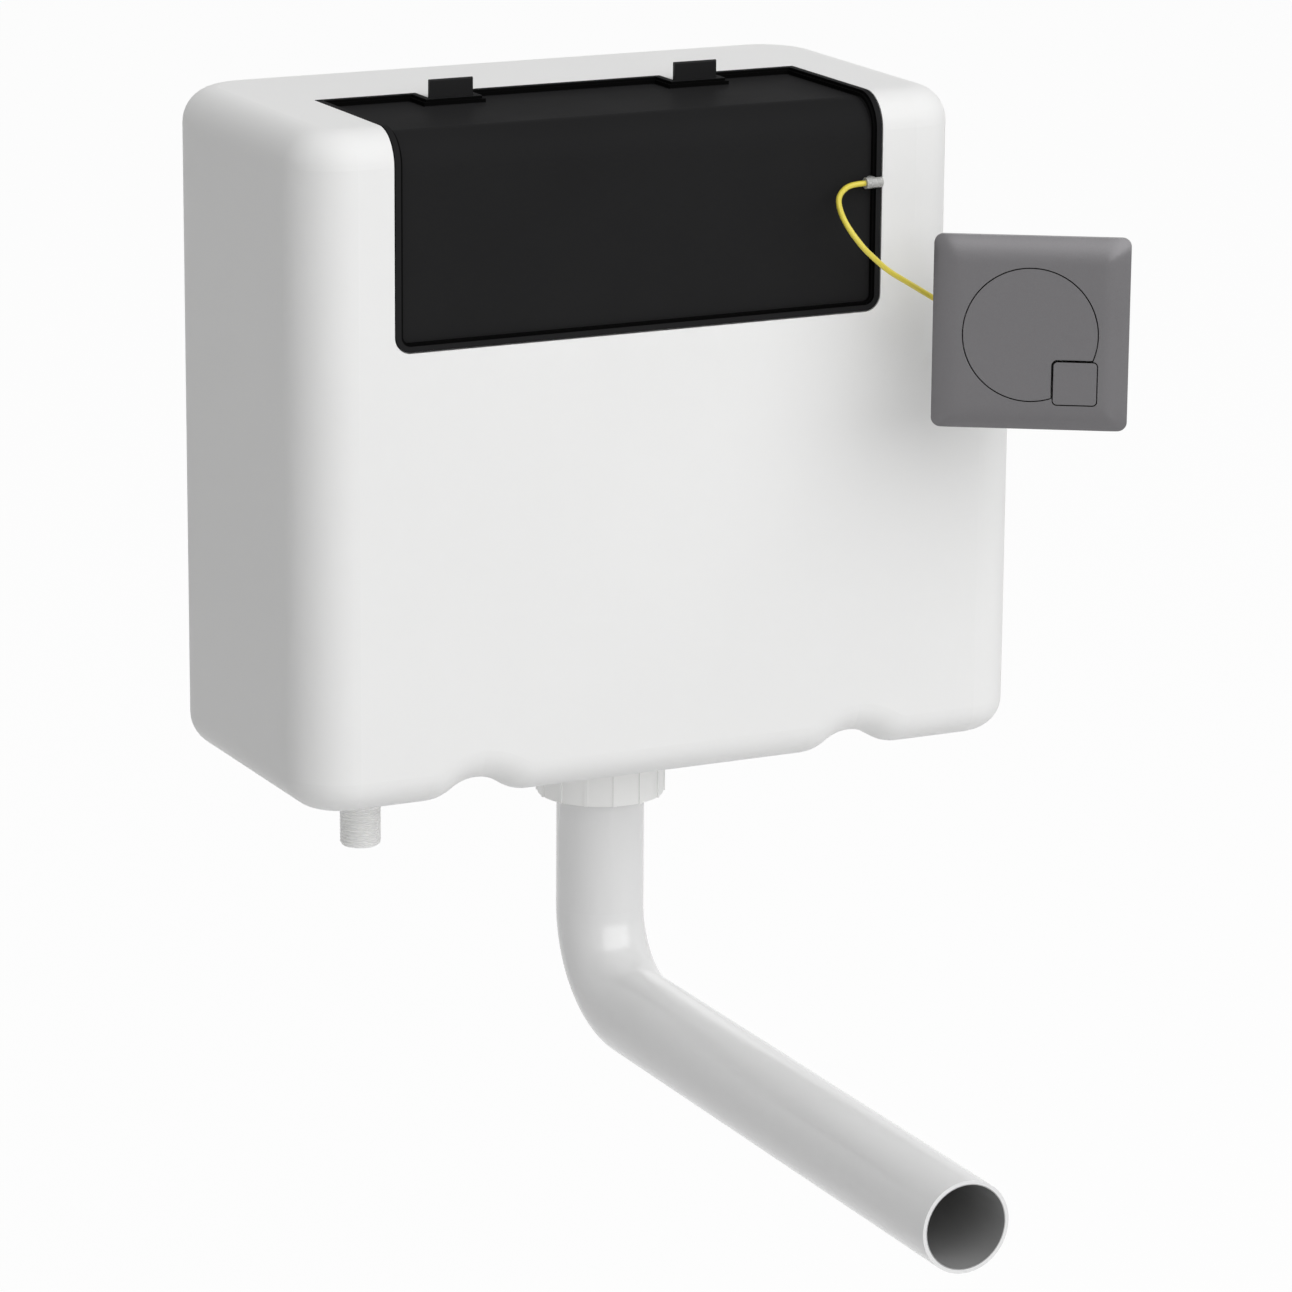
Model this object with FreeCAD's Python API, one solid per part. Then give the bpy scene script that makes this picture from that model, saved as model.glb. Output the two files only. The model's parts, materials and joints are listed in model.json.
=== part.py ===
import FreeCAD, Part
import math
import os

# Concealed toilet cistern with a cable-worked dual flush plate. All sizes are in millimetres.
# X points right as seen from the front, Y points back to the wall and Z points up.
# The origin lies midway between the two wall fixing holes, on the rear face of the tank.

# Tank
TANK_WIDTH = 400.0
UPPER_WIDTH = 360.0
TANK_HEIGHT = 340.0
TANK_DEPTH = 186.0
SHOULDER_HEIGHT = 215.0
TANK_WALL = 3.5
FRONT_CORNER_R = 28.0
REAR_CORNER_R = 38.0
TOP_EDGE_R = 18.0
BOTTOM_EDGE_R = 17.0
WAVE_OFFSET = 105.0
WAVE_HALF_WIDTH = 28.0
WAVE_HEIGHT = 9.0
FIXING_HEIGHT = 275.0
FIXING_SPACING = 180.0
FIXING_HOLE_R = 4.0
FIXING_BOSS_R = 12.0
FIXING_BOSS_T = 5.0

# Access cover, its two clips and the cable elbow in its edge
COVER_WIDTH = 265.0
COVER_DROP = 109.0
COVER_REACH = 98.0
COVER_SHEET = 2.0
COVER_RIM = 4.3
COVER_SINK = 3.6
COVER_CORNER_R = 8.0
COVER_GROOVE = 1.4
COVER_GROOVE_DEPTH = 1.5
COVER_EDGE_GAP = 0.6
SEAT_GAP = 0.3
OPENING_GAP = 1.0
LEDGE_WIDTH = 7.0
CLIP_SPACING = 135.2
CLIP_SHIFT = 1.3
CLIP_WIDTH = 23.5
CLIP_HEIGHT = 9.0
CLIP_LEG = 9.0
CLIP_THICK = 2.0
CLIP_SLOT_GAP = 1.3
NOTCH_WIDTH = 24.7
NOTCH_DEPTH = 17.0
ELBOW_R = 2.85
ELBOW_BEND_R = 3.6
ELBOW_REACH = 5.2
ELBOW_LEG = 16.0
ELBOW_HEIGHT = 296.0
ELBOW_PROUD = 0.6
ELBOW_STUB_R = 2.6
ELBOW_STUB_GAP = 0.3
ELBOW_GAP = 0.15

# Flush pipe and its coupling
PIPE_R = 22.8
PIPE_WALL = 2.2
PIPE_DROP = 137.2
PIPE_BEND_R = 47.0
PIPE_REACH = 306.0
PIPE_TOP = 10.0
OUTLET_Y = -100.0
OUTLET_THREAD_R = 28.5
OUTLET_BORE_R = 24.4
OUTLET_TAIL = 24.0
THREAD_GAP = 0.2
HOLE_GAP = 0.5
OUTLET_NUT_R = 36.0
OUTLET_NUT_H = 9.0
OUTLET_NUT_LUGS = 8
SLIP_WASHER_T = 1.5
COUPLING_R = 33.5
COUPLING_TOP = 11.0
COUPLING_H = 18.0
COUPLING_LIP = 3.0
COUPLING_RIBS = 14
COUPLING_RIB_DEPTH = 0.8
COUPLING_RIB_WIDTH = 1.8
CONE_LIP = 10.0
CONE_GAP = 0.1

# Flush valve
VALVE_FLANGE_R = 39.0
VALVE_FLANGE_T = 4.0
GASKET_T = 2.5
SEAT_R = 27.0
SEAT_H = 6.0
CAGE_HEIGHT = 140.0
CAGE_RING_H = 6.0
CAGE_RING_R = 33.0
CAGE_POSTS = 4
CAGE_POST_WIDTH = 8.0
OVERFLOW_R = 13.0
OVERFLOW_WALL = 1.8
OVERFLOW_HEIGHT = 232.0
SEAL_R = 26.5
SEAL_T = 2.5
CARRIER_R = 24.0
CARRIER_T = 5.0
VALVE_GAP = 0.3
MAIN_FLOAT_R = 29.0
MAIN_FLOAT_BASE = 52.0
MAIN_FLOAT_H = 48.0
HALF_FLOAT_R = 27.0
HALF_FLOAT_BASE = 112.0
HALF_FLOAT_H = 14.0
COLLAR_R = 21.0
COLLAR_T = 5.0
LEVER_PIVOT_X = 42.0
LEVER_TIP_X = -6.0
LEVER_TAIL_X = 67.0
LEVER_Z = 172.0
LEVER_T = 4.0
LEVER_ARM_Y = 15.5
LEVER_COLLAR_GAP = 1.0
PIN_R = 1.5
PIN_GAP = 0.05
PIN_END = 1.0
EAR_T = 3.0
EAR_R = 5.0
EAR_GAP = 0.4
ANCHOR_X = 63.0
ANCHOR_R = 4.0
ANCHOR_H = 23.0
ANCHOR_ABOVE = 7.0
WIRE_R = 0.6
WIRE_GAP = 0.4
NIPPLE_R = 2.2
NIPPLE_H = 3.5

# Fill valve
INLET_FROM_END = 64.5
INLET_THREAD_R = 10.48
INLET_TAIL = 41.0
INLET_BORE_R = 6.0
INLET_CHAMFER = 1.2
INLET_NECK = 3.0
INLET_NECK_DEPTH = 0.6
INLET_NUT_AF = 30.0
INLET_NUT_H = 8.0
INLET_FLANGE_R = 18.0
INLET_FLANGE_T = 4.0
INLET_PAD_R = 22.0
INLET_RECESS_R = 19.0
INLET_COLLAR_H = 15.0
RISER_R = 9.0
RISER_TOP = 236.0
HEAD_R = 17.0
HEAD_H = 16.0
CAP_H = 9.0
FLOAT_CUP_HALF = 24.0
FLOAT_CUP_H = 52.0
FLOAT_CUP_WALL = 1.8
FLOAT_CUP_BASE = 140.0
FLOAT_CUP_CORNER_R = 8.0
FLOAT_SLEEVE_WALL = 2.0
FLOAT_SLIDE_GAP = 0.3
FLOAT_RISE = 12.0
FLOAT_ARM = 35.0
FLOAT_ARM_W = 9.0
FLOAT_ARM_T = 4.0
FLOAT_ROD_R = 1.6
FLOAT_ROD_STOP_R = 3.6
FLOAT_ROD_STOP_GAP = 1.2
DIP_TUBE_R = 4.0

# Flush plate, buttons and the cable head behind them
PLATE_SIZE = 97.0
PLATE_CORNER_R = 4.6
PLATE_EDGE_DROP = 5.0
PLATE_EDGE_REACH = 14.5
PLATE_THICK = 8.0
PLATE_CURL = 2.2
PLATE_STEPS = 48
PLATE_SKIN = 2.0
PLATE_RIM = 3.0
PLATE_TURN_DEG = -32.0
PLATE_X = 151.3
PLATE_Y = -270.7
PLATE_Z = -44.4
FULL_BUTTON_R = 33.75
HALF_BUTTON_SIZE = 22.5
HALF_BUTTON_X = 22.5
HALF_BUTTON_Z = -24.0
HALF_BUTTON_CORNER_R = 2.5
BUTTON_GAP = 0.6
BUTTON_T = 3.0
DISH_OUTER = 80.0
DISH_WALL = 2.0
DISH_FLANGE = 92.0
DISH_FLOOR_Y = 20.0
BARREL_R = 28.0
BARREL_WALL = 2.5
BARREL_BACK_Y = 50.0
BARREL_CAP_T = 3.0
PANEL_GASKET_T = 3.0
PANEL_NUT_H = 9.0
PANEL_NUT_R = 36.0
PANEL_NUT_LUGS = 6
FULL_POST_X = -8.0
FULL_POST_R = 4.0
HALF_PIN_Z = -10.0
HALF_PIN_R = 2.0
FULL_NOSE_R = 2.0
FULL_NOSE_Y = 22.0
CABLE_STROKE = 7.2
HALF_ARM_Y = 10.0
HALF_ARM_T = 3.0
POST_GAP = 0.3
CRANK_X = 6.0
CRANK_Y = 30.0
CRANK_ARM = 14.0
CRANK_T = 3.0
CRANK_HALF_WIDTH = 2.5
CRANK_CLEAR = 0.5
YOKE_T = 3.0
YOKE_HEIGHT = 5.0
YOKE_LUG_X = 12.6
YOKE_LUG_T = 2.0
CABLE_HEAD_Z = 6.0
GLAND_R = 4.5
GLAND_REACH = 36.0
SPRING_TURNS = 5
SPRING_STEPS = 12
SPRING_SIDES = 6
FULL_SPRING_R = 6.2
FULL_SPRING_WIRE_R = 0.5
HALF_SPRING_R = 4.5
HALF_SPRING_WIRE_R = 0.25

# Operating cable: the free stretch between the elbow and the plate, then the stretch in the tank
CABLE_R = 1.45
CABLE_POINTS = [
    (96.2, -186.6, 21.0),
    (89.6, -189.0, 19.5),
    (82.6, -195.3, 15.5),
    (80.2, -207.3, 6.8),
    (87.6, -212.5, -5.3),
    (95.3, -211.2, -12.0),
    (104.0, -210.6, -19.4),
    (114.6, -209.6, -25.6),
    (126.2, -205.4, -32.2),
    (135.5, -208.9, -38.4),
]
INNER_CABLE_POINTS = [
    (108.2, -146.0, 21.0),
    (106.0, -122.0, 0.0),
    (104.0, -107.0, -38.0),
    (103.0, -100.0, -80.0),
    (101.0, -100.0, -122.0),
    (103.0, -100.0, -163.0),
    (83.0, -100.0, -174.6),
    (63.0, -100.0, -163.0),
]

Vec = FreeCAD.Vector
X_AXIS, Y_AXIS, Z_AXIS = Vec(1, 0, 0), Vec(0, 1, 0), Vec(0, 0, 1)

# Heights and faces that several pieces share
BOTTOM = -FIXING_HEIGHT
TOP = BOTTOM + TANK_HEIGHT
FRONT = -TANK_DEPTH
LEFT = -TANK_WIDTH / 2
RIGHT = TANK_WIDTH / 2
UPPER_RIGHT = LEFT + UPPER_WIDTH
INLET_X = LEFT + INLET_FROM_END
FLOOR = BOTTOM + TANK_WALL
COVER_X = (LEFT + UPPER_RIGHT) / 2
COVER_BOTTOM = TOP - COVER_DROP
COVER_REAR = FRONT + COVER_REACH
NOTCH_FRONT = COVER_REAR - NOTCH_DEPTH
CLIP_XS = (COVER_X + CLIP_SHIFT - CLIP_SPACING / 2, COVER_X + CLIP_SHIFT + CLIP_SPACING / 2)
GAP = 0.05


# Basic shapes
def box(x0, x1, y0, y1, z0, z1):
    return Part.makeBox(x1 - x0, y1 - y0, z1 - z0, Vec(x0, y0, z0))


def rod(start, axis, length, radius):
    return Part.makeCylinder(radius, length, Vec(*start), axis)


def tube(start, axis, length, outer, inner):
    return rod(start, axis, length, outer).cut(rod(start, axis, length, inner))


def lathe(x, y, profile):
    """Solid of revolution about a vertical axis, from (radius, height) points."""
    points = [Vec(x + r, y, z) for r, z in profile]
    return Part.Face(Part.makePolygon(points + points[:1])).revolve(Vec(x, y, 0), Z_AXIS, 360)


def fillet_where(solid, radius, keep):
    return solid.makeFillet(radius, [edge for edge in solid.Edges if keep(edge)])


def is_along(edge, axis):
    points = [vertex.Point for vertex in edge.Vertexes]
    if len(points) != 2:
        return False
    run = points[1] - points[0]
    return run.Length > 1e-6 and abs(run.dot(axis)) > 0.9999 * run.Length


def rounded_box(x0, x1, y0, y1, z0, z1, radius, axis=Z_AXIS):
    """Box whose four edges along one axis are rounded."""
    return fillet_where(box(x0, x1, y0, y1, z0, z1), radius, lambda edge: is_along(edge, axis))


def rounded_path(points):
    """Straight runs joined by tangent arcs, each arc as large as its two runs allow."""
    points = [Vec(*point) for point in points]
    edges, radii, last = [], [], points[0]
    for before, corner, after in zip(points, points[1:], points[2:]):
        back, ahead = before - corner, after - corner
        half_turn = (math.pi - back.getAngle(ahead)) / 2
        cut = 0.45 * min(back.Length, ahead.Length)
        radius = cut / math.tan(half_turn)
        back.normalize()
        ahead.normalize()
        middle = back + ahead
        middle.normalize()
        centre = corner + middle * (radius / math.cos(half_turn))
        start, end = corner + back * cut, corner + ahead * cut
        edges.append(Part.LineSegment(last, start).toShape())
        edges.append(Part.Arc(start, centre - middle * radius, end).toShape())
        radii.append(radius)
        last = end
    edges.append(Part.LineSegment(last, points[-1]).toShape())
    return Part.Wire(edges), radii


def sweep(path, radius):
    """Round bar along a wire."""
    start = path.OrderedEdges[0]
    first = start.FirstParameter
    circle = Part.makeCircle(radius, start.valueAt(first), start.tangentAt(first))
    return path.makePipeShell([Part.Wire([circle])], True, True)


def spring(start, axis, length, radius, wire_r):
    """Compression spring about an axis, as a coil of short flat-sided runs of wire."""
    steps = SPRING_TURNS * SPRING_STEPS
    sides = [2 * math.pi * side / SPRING_SIDES for side in range(SPRING_SIDES)]
    rings = []
    for step in range(steps + 1):
        angle = 2 * math.pi * step / SPRING_STEPS
        outward = Vec(math.cos(angle), math.sin(angle), 0)
        middle = outward * radius + Z_AXIS * (wire_r + (length - 2 * wire_r) * step / steps)
        rings.append([middle + outward * (wire_r * math.cos(side)) + Z_AXIS * (wire_r * math.sin(side))
                      for side in sides])
    faces = []
    for low, high in zip(rings, rings[1:]):
        for side in range(SPRING_SIDES):
            after = (side + 1) % SPRING_SIDES
            for corners in ((low[side], low[after], high[after]), (low[side], high[after], high[side])):
                faces.append(Part.Face(Part.makePolygon(list(corners) + [corners[0]])))
    for ring in (rings[0], rings[-1]):
        faces.append(Part.Face(Part.makePolygon(ring + ring[:1])))
    coil = Part.makeSolid(Part.makeShell(faces))
    if coil.Volume < 0:
        coil.reverse()
    coil.Placement = FreeCAD.Placement(Vec(*start), FreeCAD.Rotation(Z_AXIS, axis))
    return coil


def lugged_ring(x, y, z0, z1, outer, inner, count, lug_depth, lug_width):
    """Ring nut with ribs standing out of it, about a vertical axis."""
    ring = rod((x, y, z0), Z_AXIS, z1 - z0, outer - lug_depth)
    for index in range(count):
        rib = box(x, x + outer, y - lug_width / 2, y + lug_width / 2, z0, z1)
        rib.rotate(Vec(x, y, 0), Z_AXIS, 360.0 * index / count)
        ring = ring.fuse(rib)
    ring = ring.common(rod((x, y, z0), Z_AXIS, z1 - z0, outer))
    return ring.cut(rod((x, y, z0), Z_AXIS, z1 - z0, inner)).removeSplitter()


# Tank
def plan_block(x_right, z0, z1, inset):
    """Upright block with the tank's plan, shrunk all round by the inset."""
    block = box(LEFT + inset, x_right - inset, FRONT + inset, -inset, z0, z1)
    block = fillet_where(block, FRONT_CORNER_R - inset,
                         lambda edge: is_along(edge, Z_AXIS) and edge.Vertexes[0].Y < FRONT / 2)
    return fillet_where(block, REAR_CORNER_R - inset,
                        lambda edge: is_along(edge, Z_AXIS) and edge.Vertexes[0].Y > FRONT / 2
                        and edge.Length > z1 - z0 - 1)


def wave_channel(x, z):
    """Channel from front to back whose roof is a smooth wave."""
    turn = 2 * math.atan(WAVE_HEIGHT / WAVE_HALF_WIDTH)
    radius = WAVE_HALF_WIDTH / (2 * math.sin(turn))
    rise, run = radius * (1 - math.cos(turn / 2)), radius * math.sin(turn / 2)
    left, right = Vec(x - WAVE_HALF_WIDTH, 1, z), Vec(x + WAVE_HALF_WIDTH, 1, z)
    left_mid = Vec(x - WAVE_HALF_WIDTH / 2, 1, z + WAVE_HEIGHT / 2)
    right_mid = Vec(x + WAVE_HALF_WIDTH / 2, 1, z + WAVE_HEIGHT / 2)
    roof = [
        Part.Arc(left, left + Vec(run, 0, rise), left_mid),
        Part.Arc(left_mid, Vec(x, 1, z + WAVE_HEIGHT) - Vec(run, 0, rise), Vec(x, 1, z + WAVE_HEIGHT)),
        Part.Arc(Vec(x, 1, z + WAVE_HEIGHT), Vec(x, 1, z + WAVE_HEIGHT) + Vec(run, 0, -rise), right_mid),
        Part.Arc(right_mid, right + Vec(-run, 0, rise), right),
    ]
    below = Vec(0, 0, -BOTTOM_EDGE_R)
    floor = Part.makePolygon([right, right + below, left + below, left]).Edges
    outline = Part.Wire([arc.toShape() for arc in roof] + floor)
    return Part.Face(outline).extrude(Vec(0, FRONT - 2, 0))


def tank_solid(inset):
    """Solid inside the tank's outer skin, shrunk all round by the inset."""
    bottom, shoulder, top = BOTTOM + inset, BOTTOM + SHOULDER_HEIGHT - inset, TOP - inset
    lower = plan_block(RIGHT, bottom, shoulder, inset)
    for side in (-1, 1):
        lower = lower.cut(wave_channel(side * WAVE_OFFSET, bottom))
    wave_top = bottom + WAVE_HEIGHT + 0.5
    lower = fillet_where(lower, BOTTOM_EDGE_R - inset, lambda edge: edge.BoundBox.ZMax < wave_top
                         and not (is_along(edge, Y_AXIS) and abs(edge.Vertexes[0].X) < RIGHT - 50))
    lower = fillet_where(lower, TOP_EDGE_R - inset, lambda edge: edge.BoundBox.ZMin > shoulder - 1)
    upper = plan_block(UPPER_RIGHT, BOTTOM + SHOULDER_HEIGHT / 2, top, inset)
    upper = fillet_where(upper, TOP_EDGE_R - inset, lambda edge: edge.BoundBox.ZMin > top - 1)
    return lower.fuse(upper).removeSplitter()


def wrap(x0, x1, shallow, deep, z_low, y_rear, bend=None):
    """Band that follows the tank's front and top between two depths below its skin."""
    def corner(depth):
        radius = max(TOP_EDGE_R - depth, 1.0) if bend is None else bend
        front, top = FRONT + depth, TOP - depth
        middle = radius * (1 - math.sqrt(0.5))
        return [Vec(x0, front, z_low), Vec(x0, front, top - radius), Vec(x0, front + middle, top - middle),
                Vec(x0, front + radius, top), Vec(x0, y_rear, top)]

    outer, inner = corner(shallow), corner(deep)
    edges = []
    for line in (outer, inner):
        edges.append(Part.LineSegment(line[0], line[1]).toShape())
        edges.append(Part.Arc(line[1], line[2], line[3]).toShape())
        edges.append(Part.LineSegment(line[3], line[4]).toShape())
    edges.append(Part.LineSegment(outer[0], inner[0]).toShape())
    edges.append(Part.LineSegment(outer[4], inner[4]).toShape())
    return Part.Face(Part.Wire(Part.__sortEdges__(edges))).extrude(Vec(x1 - x0, 0, 0))


def cover_band(grow, shallow, deep, bend=None):
    """Part of the wrap inside the cover's outline, grown by an amount, with its two rear notches."""
    x0, x1 = COVER_X - COVER_WIDTH / 2 - grow, COVER_X + COVER_WIDTH / 2 + grow
    band = wrap(x0, x1, shallow, deep, COVER_BOTTOM - grow, COVER_REAR + grow, bend)
    for x in CLIP_XS:
        half = NOTCH_WIDTH / 2 - grow
        band = band.cut(box(x - half, x + half, NOTCH_FRONT + grow, 0, TOP - 40, TOP + 10))
    radius = max(COVER_CORNER_R + grow, 1.0)
    sheet = rounded_box(x0, x1, FRONT - 20, 0, COVER_BOTTOM - grow, TOP + 60, radius, Y_AXIS)
    return band.common(sheet)


def elbow_path():
    """Centre line of the cable elbow, from its mouth on the cover to its end in the tank."""
    y, z = FRONT - ELBOW_PROUD, BOTTOM + ELBOW_HEIGHT
    x = COVER_X + COVER_WIDTH / 2 - COVER_RIM
    mouth = Vec(x - ELBOW_REACH, y, z)
    turn_in, turn_out = Vec(x - ELBOW_BEND_R, y, z), Vec(x, y + ELBOW_BEND_R, z)
    middle = Vec(x - ELBOW_BEND_R * (1 - math.sqrt(0.5)), y + ELBOW_BEND_R * (1 - math.sqrt(0.5)), z)
    end = Vec(x, y + ELBOW_LEG, z)
    wire = Part.Wire([Part.LineSegment(mouth, turn_in).toShape(),
                      Part.Arc(turn_in, middle, turn_out).toShape(),
                      Part.LineSegment(turn_out, end).toShape()])
    return wire, mouth, end


def tank():
    shell = tank_solid(0.0).cut(tank_solid(TANK_WALL))
    seat = COVER_SHEET + SEAT_GAP
    ledge = cover_band(LEDGE_WIDTH, TANK_WALL - 1, seat + TANK_WALL)
    shell = shell.fuse(ledge)
    shell = shell.cut(cover_band(COVER_EDGE_GAP, -10.0, seat))
    tub = COVER_RIM - COVER_SHEET - OPENING_GAP
    shell = shell.cut(cover_band(-tub, -10.0, 4 * TANK_WALL))
    for x in CLIP_XS:
        half = CLIP_WIDTH / 2 + COVER_EDGE_GAP
        shell = shell.cut(box(x - half, x + half, NOTCH_FRONT - COVER_EDGE_GAP,
                              NOTCH_FRONT + CLIP_THICK + CLIP_SLOT_GAP, TOP - 30, TOP + 10))
    for side in (-1, 1):
        x = side * FIXING_SPACING / 2
        shell = shell.fuse(rod((x, -FIXING_BOSS_T, 0), Y_AXIS, FIXING_BOSS_T, FIXING_BOSS_R))
        shell = shell.cut(rod((x, -FIXING_BOSS_T - 1, 0), Y_AXIS, FIXING_BOSS_T + 2, FIXING_HOLE_R))
    shell = shell.fuse(rod((INLET_X, OUTLET_Y, BOTTOM), Z_AXIS, INLET_COLLAR_H, INLET_PAD_R))
    shell = shell.cut(rod((INLET_X, OUTLET_Y, FLOOR), Z_AXIS, INLET_COLLAR_H, INLET_RECESS_R))
    holes = ((INLET_X, INLET_THREAD_R), (0.0, OUTLET_THREAD_R))
    for x, radius in holes:
        shell = shell.cut(rod((x, OUTLET_Y, BOTTOM - 1), Z_AXIS, TANK_WALL + 2, radius + HOLE_GAP))
    return shell.removeSplitter()


# Access cover
def access_cover():
    cover = cover_band(0.0, 0.0, COVER_SHEET)
    cover = cover.fuse(cover_band(COVER_SHEET - COVER_RIM, 0.0, COVER_SINK + COVER_SHEET, TOP_EDGE_R))
    cover = cover.cut(cover_band(-COVER_RIM, -10.0, COVER_SINK, TOP_EDGE_R))
    groove = cover_band(COVER_GROOVE - COVER_RIM, -10.0, COVER_GROOVE_DEPTH)
    cover = cover.cut(groove.cut(cover_band(-COVER_RIM, -12.0, COVER_SINK + 1.0)))
    wire, mouth, end = elbow_path()
    reach = ELBOW_R + ELBOW_GAP
    edge = COVER_X + COVER_WIDTH / 2
    cover = cover.cut(sweep(wire, reach))
    cover = cover.cut(rod(mouth, X_AXIS, edge - mouth.x + 1, reach))
    return cover.cut(box(mouth.x, edge + 1, FRONT - 10, mouth.y, mouth.z - reach, mouth.z + reach))


def cable_elbow():
    wire, mouth, end = elbow_path()
    stub = COVER_X + COVER_WIDTH / 2 - ELBOW_STUB_GAP - mouth.x
    return sweep(wire, ELBOW_R).fuse(rod(mouth + X_AXIS, X_AXIS, stub - 1, ELBOW_STUB_R))


def cover_clip(x):
    """Sprung finger tab that stands in a notch of the cover, with its leg through the tank."""
    y0 = NOTCH_FRONT + SEAT_GAP
    half = CLIP_WIDTH / 2
    clip = box(x - half, x + half, y0, y0 + CLIP_THICK, TOP - CLIP_LEG, TOP + CLIP_HEIGHT)
    return fillet_where(clip, CLIP_THICK * 0.45,
                        lambda edge: is_along(edge, X_AXIS) and edge.Vertexes[0].Z > TOP)


# Flush outlet
def outlet_slip_washer():
    return tube((0, OUTLET_Y, BOTTOM - SLIP_WASHER_T), Z_AXIS, SLIP_WASHER_T, OUTLET_NUT_R,
                OUTLET_THREAD_R + HOLE_GAP)


def outlet_backnut():
    top = BOTTOM - SLIP_WASHER_T
    return lugged_ring(0, OUTLET_Y, top - OUTLET_NUT_H, top, OUTLET_NUT_R, OUTLET_THREAD_R + THREAD_GAP,
                       OUTLET_NUT_LUGS, 3.0, 8.0)


def coupling_nut():
    top = BOTTOM - COUPLING_TOP
    low = top - COUPLING_H
    nut = lugged_ring(0, OUTLET_Y, low, top, COUPLING_R, PIPE_R + HOLE_GAP, COUPLING_RIBS,
                      COUPLING_RIB_DEPTH, COUPLING_RIB_WIDTH)
    bore = rod((0, OUTLET_Y, low + COUPLING_LIP), Z_AXIS, COUPLING_H, OUTLET_THREAD_R + THREAD_GAP)
    return nut.cut(bore)


def cone_washer():
    """Rubber cone squeezed between the pipe, the outlet tail and the coupling nut."""
    seat = BOTTOM - COUPLING_TOP - COUPLING_H + COUPLING_LIP
    tail_end = BOTTOM - OUTLET_TAIL
    inner, bore = PIPE_R + CONE_GAP, OUTLET_BORE_R - CONE_GAP
    outer = OUTLET_THREAD_R - 0.5
    return lathe(0, OUTLET_Y, [
        (inner, seat), (outer, seat), (outer, tail_end),
        (bore, tail_end), (inner + 0.4, tail_end + CONE_LIP), (inner, tail_end + CONE_LIP),
    ])


def flush_pipe():
    top, axis_z = BOTTOM - PIPE_TOP, BOTTOM - PIPE_DROP
    bend_top = Vec(0, OUTLET_Y, axis_z + PIPE_BEND_R)
    bend_end = Vec(0, OUTLET_Y - PIPE_BEND_R, axis_z)
    lean = PIPE_BEND_R * (1 - math.sqrt(0.5))
    middle = Vec(0, OUTLET_Y - lean, axis_z + lean)
    path = Part.Wire([Part.LineSegment(Vec(0, OUTLET_Y, top), bend_top).toShape(),
                      Part.Arc(bend_top, middle, bend_end).toShape(),
                      Part.LineSegment(bend_end, Vec(0, FRONT - PIPE_REACH, axis_z)).toShape()])
    return sweep(path, PIPE_R).cut(sweep(path, PIPE_R - PIPE_WALL))


# Flush valve
VALVE_BASE = FLOOR + GASKET_T
SEAT_TOP = VALVE_BASE + VALVE_FLANGE_T + SEAT_H
CAGE_TOP = VALVE_BASE + VALVE_FLANGE_T + CAGE_HEIGHT
LEVER_LEVEL = BOTTOM + LEVER_Z
COLLAR_BASE = LEVER_LEVEL + LEVER_T / 2 + LEVER_COLLAR_GAP
LEVER_OUT_Y = LEVER_ARM_Y + LEVER_T
ANCHOR_FOOT = CAGE_TOP + ANCHOR_ABOVE - ANCHOR_H


def outlet_gasket():
    return tube((0, OUTLET_Y, FLOOR), Z_AXIS, GASKET_T, VALVE_FLANGE_R, OUTLET_THREAD_R + HOLE_GAP)


def valve_base():
    flange_top = VALVE_BASE + VALVE_FLANGE_T
    return lathe(0, OUTLET_Y, [
        (OUTLET_BORE_R, BOTTOM - OUTLET_TAIL), (OUTLET_THREAD_R, BOTTOM - OUTLET_TAIL),
        (OUTLET_THREAD_R, VALVE_BASE), (VALVE_FLANGE_R, VALVE_BASE), (VALVE_FLANGE_R, flange_top),
        (SEAT_R, flange_top), (SEAT_R - 1.0, SEAT_TOP), (SEAT_R - 2.5, SEAT_TOP),
        (OUTLET_BORE_R - 2.0, flange_top), (OUTLET_BORE_R - 2.0, VALVE_BASE - 4.0),
        (OUTLET_BORE_R, VALVE_BASE - 6.0),
    ])


def valve_cage():
    """Posts on the valve base with a ring on top, open at the sides for the water."""
    base = VALVE_BASE + VALVE_FLANGE_T
    ring = tube((0, OUTLET_Y, base), Z_AXIS, CAGE_TOP - base, VALVE_FLANGE_R, CAGE_RING_R)
    posts = box(-VALVE_FLANGE_R, VALVE_FLANGE_R, -CAGE_POST_WIDTH / 2, CAGE_POST_WIDTH / 2, base, CAGE_TOP)
    cross = posts.copy()
    cross.rotate(Vec(0, 0, 0), Z_AXIS, 360.0 / CAGE_POSTS)
    keep = posts.fuse(cross)
    keep.rotate(Vec(0, 0, 0), Z_AXIS, 180.0 / CAGE_POSTS)
    keep.translate(Vec(0, OUTLET_Y, 0))
    for level in (base, CAGE_TOP - CAGE_RING_H):
        keep = keep.fuse(rod((0, OUTLET_Y, level), Z_AXIS, CAGE_RING_H, VALVE_FLANGE_R))
    return ring.common(keep).removeSplitter()


def overflow_tube():
    base = SEAT_TOP + VALVE_GAP
    height = BOTTOM + OVERFLOW_HEIGHT - base
    return tube((0, OUTLET_Y, base), Z_AXIS, height, OVERFLOW_R, OVERFLOW_R - OVERFLOW_WALL)


def valve_seal():
    return tube((0, OUTLET_Y, SEAT_TOP + VALVE_GAP), Z_AXIS, SEAL_T, SEAL_R, OVERFLOW_R)


def seal_carrier():
    return tube((0, OUTLET_Y, SEAT_TOP + VALVE_GAP + SEAL_T), Z_AXIS, CARRIER_T, CARRIER_R, OVERFLOW_R)


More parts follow.
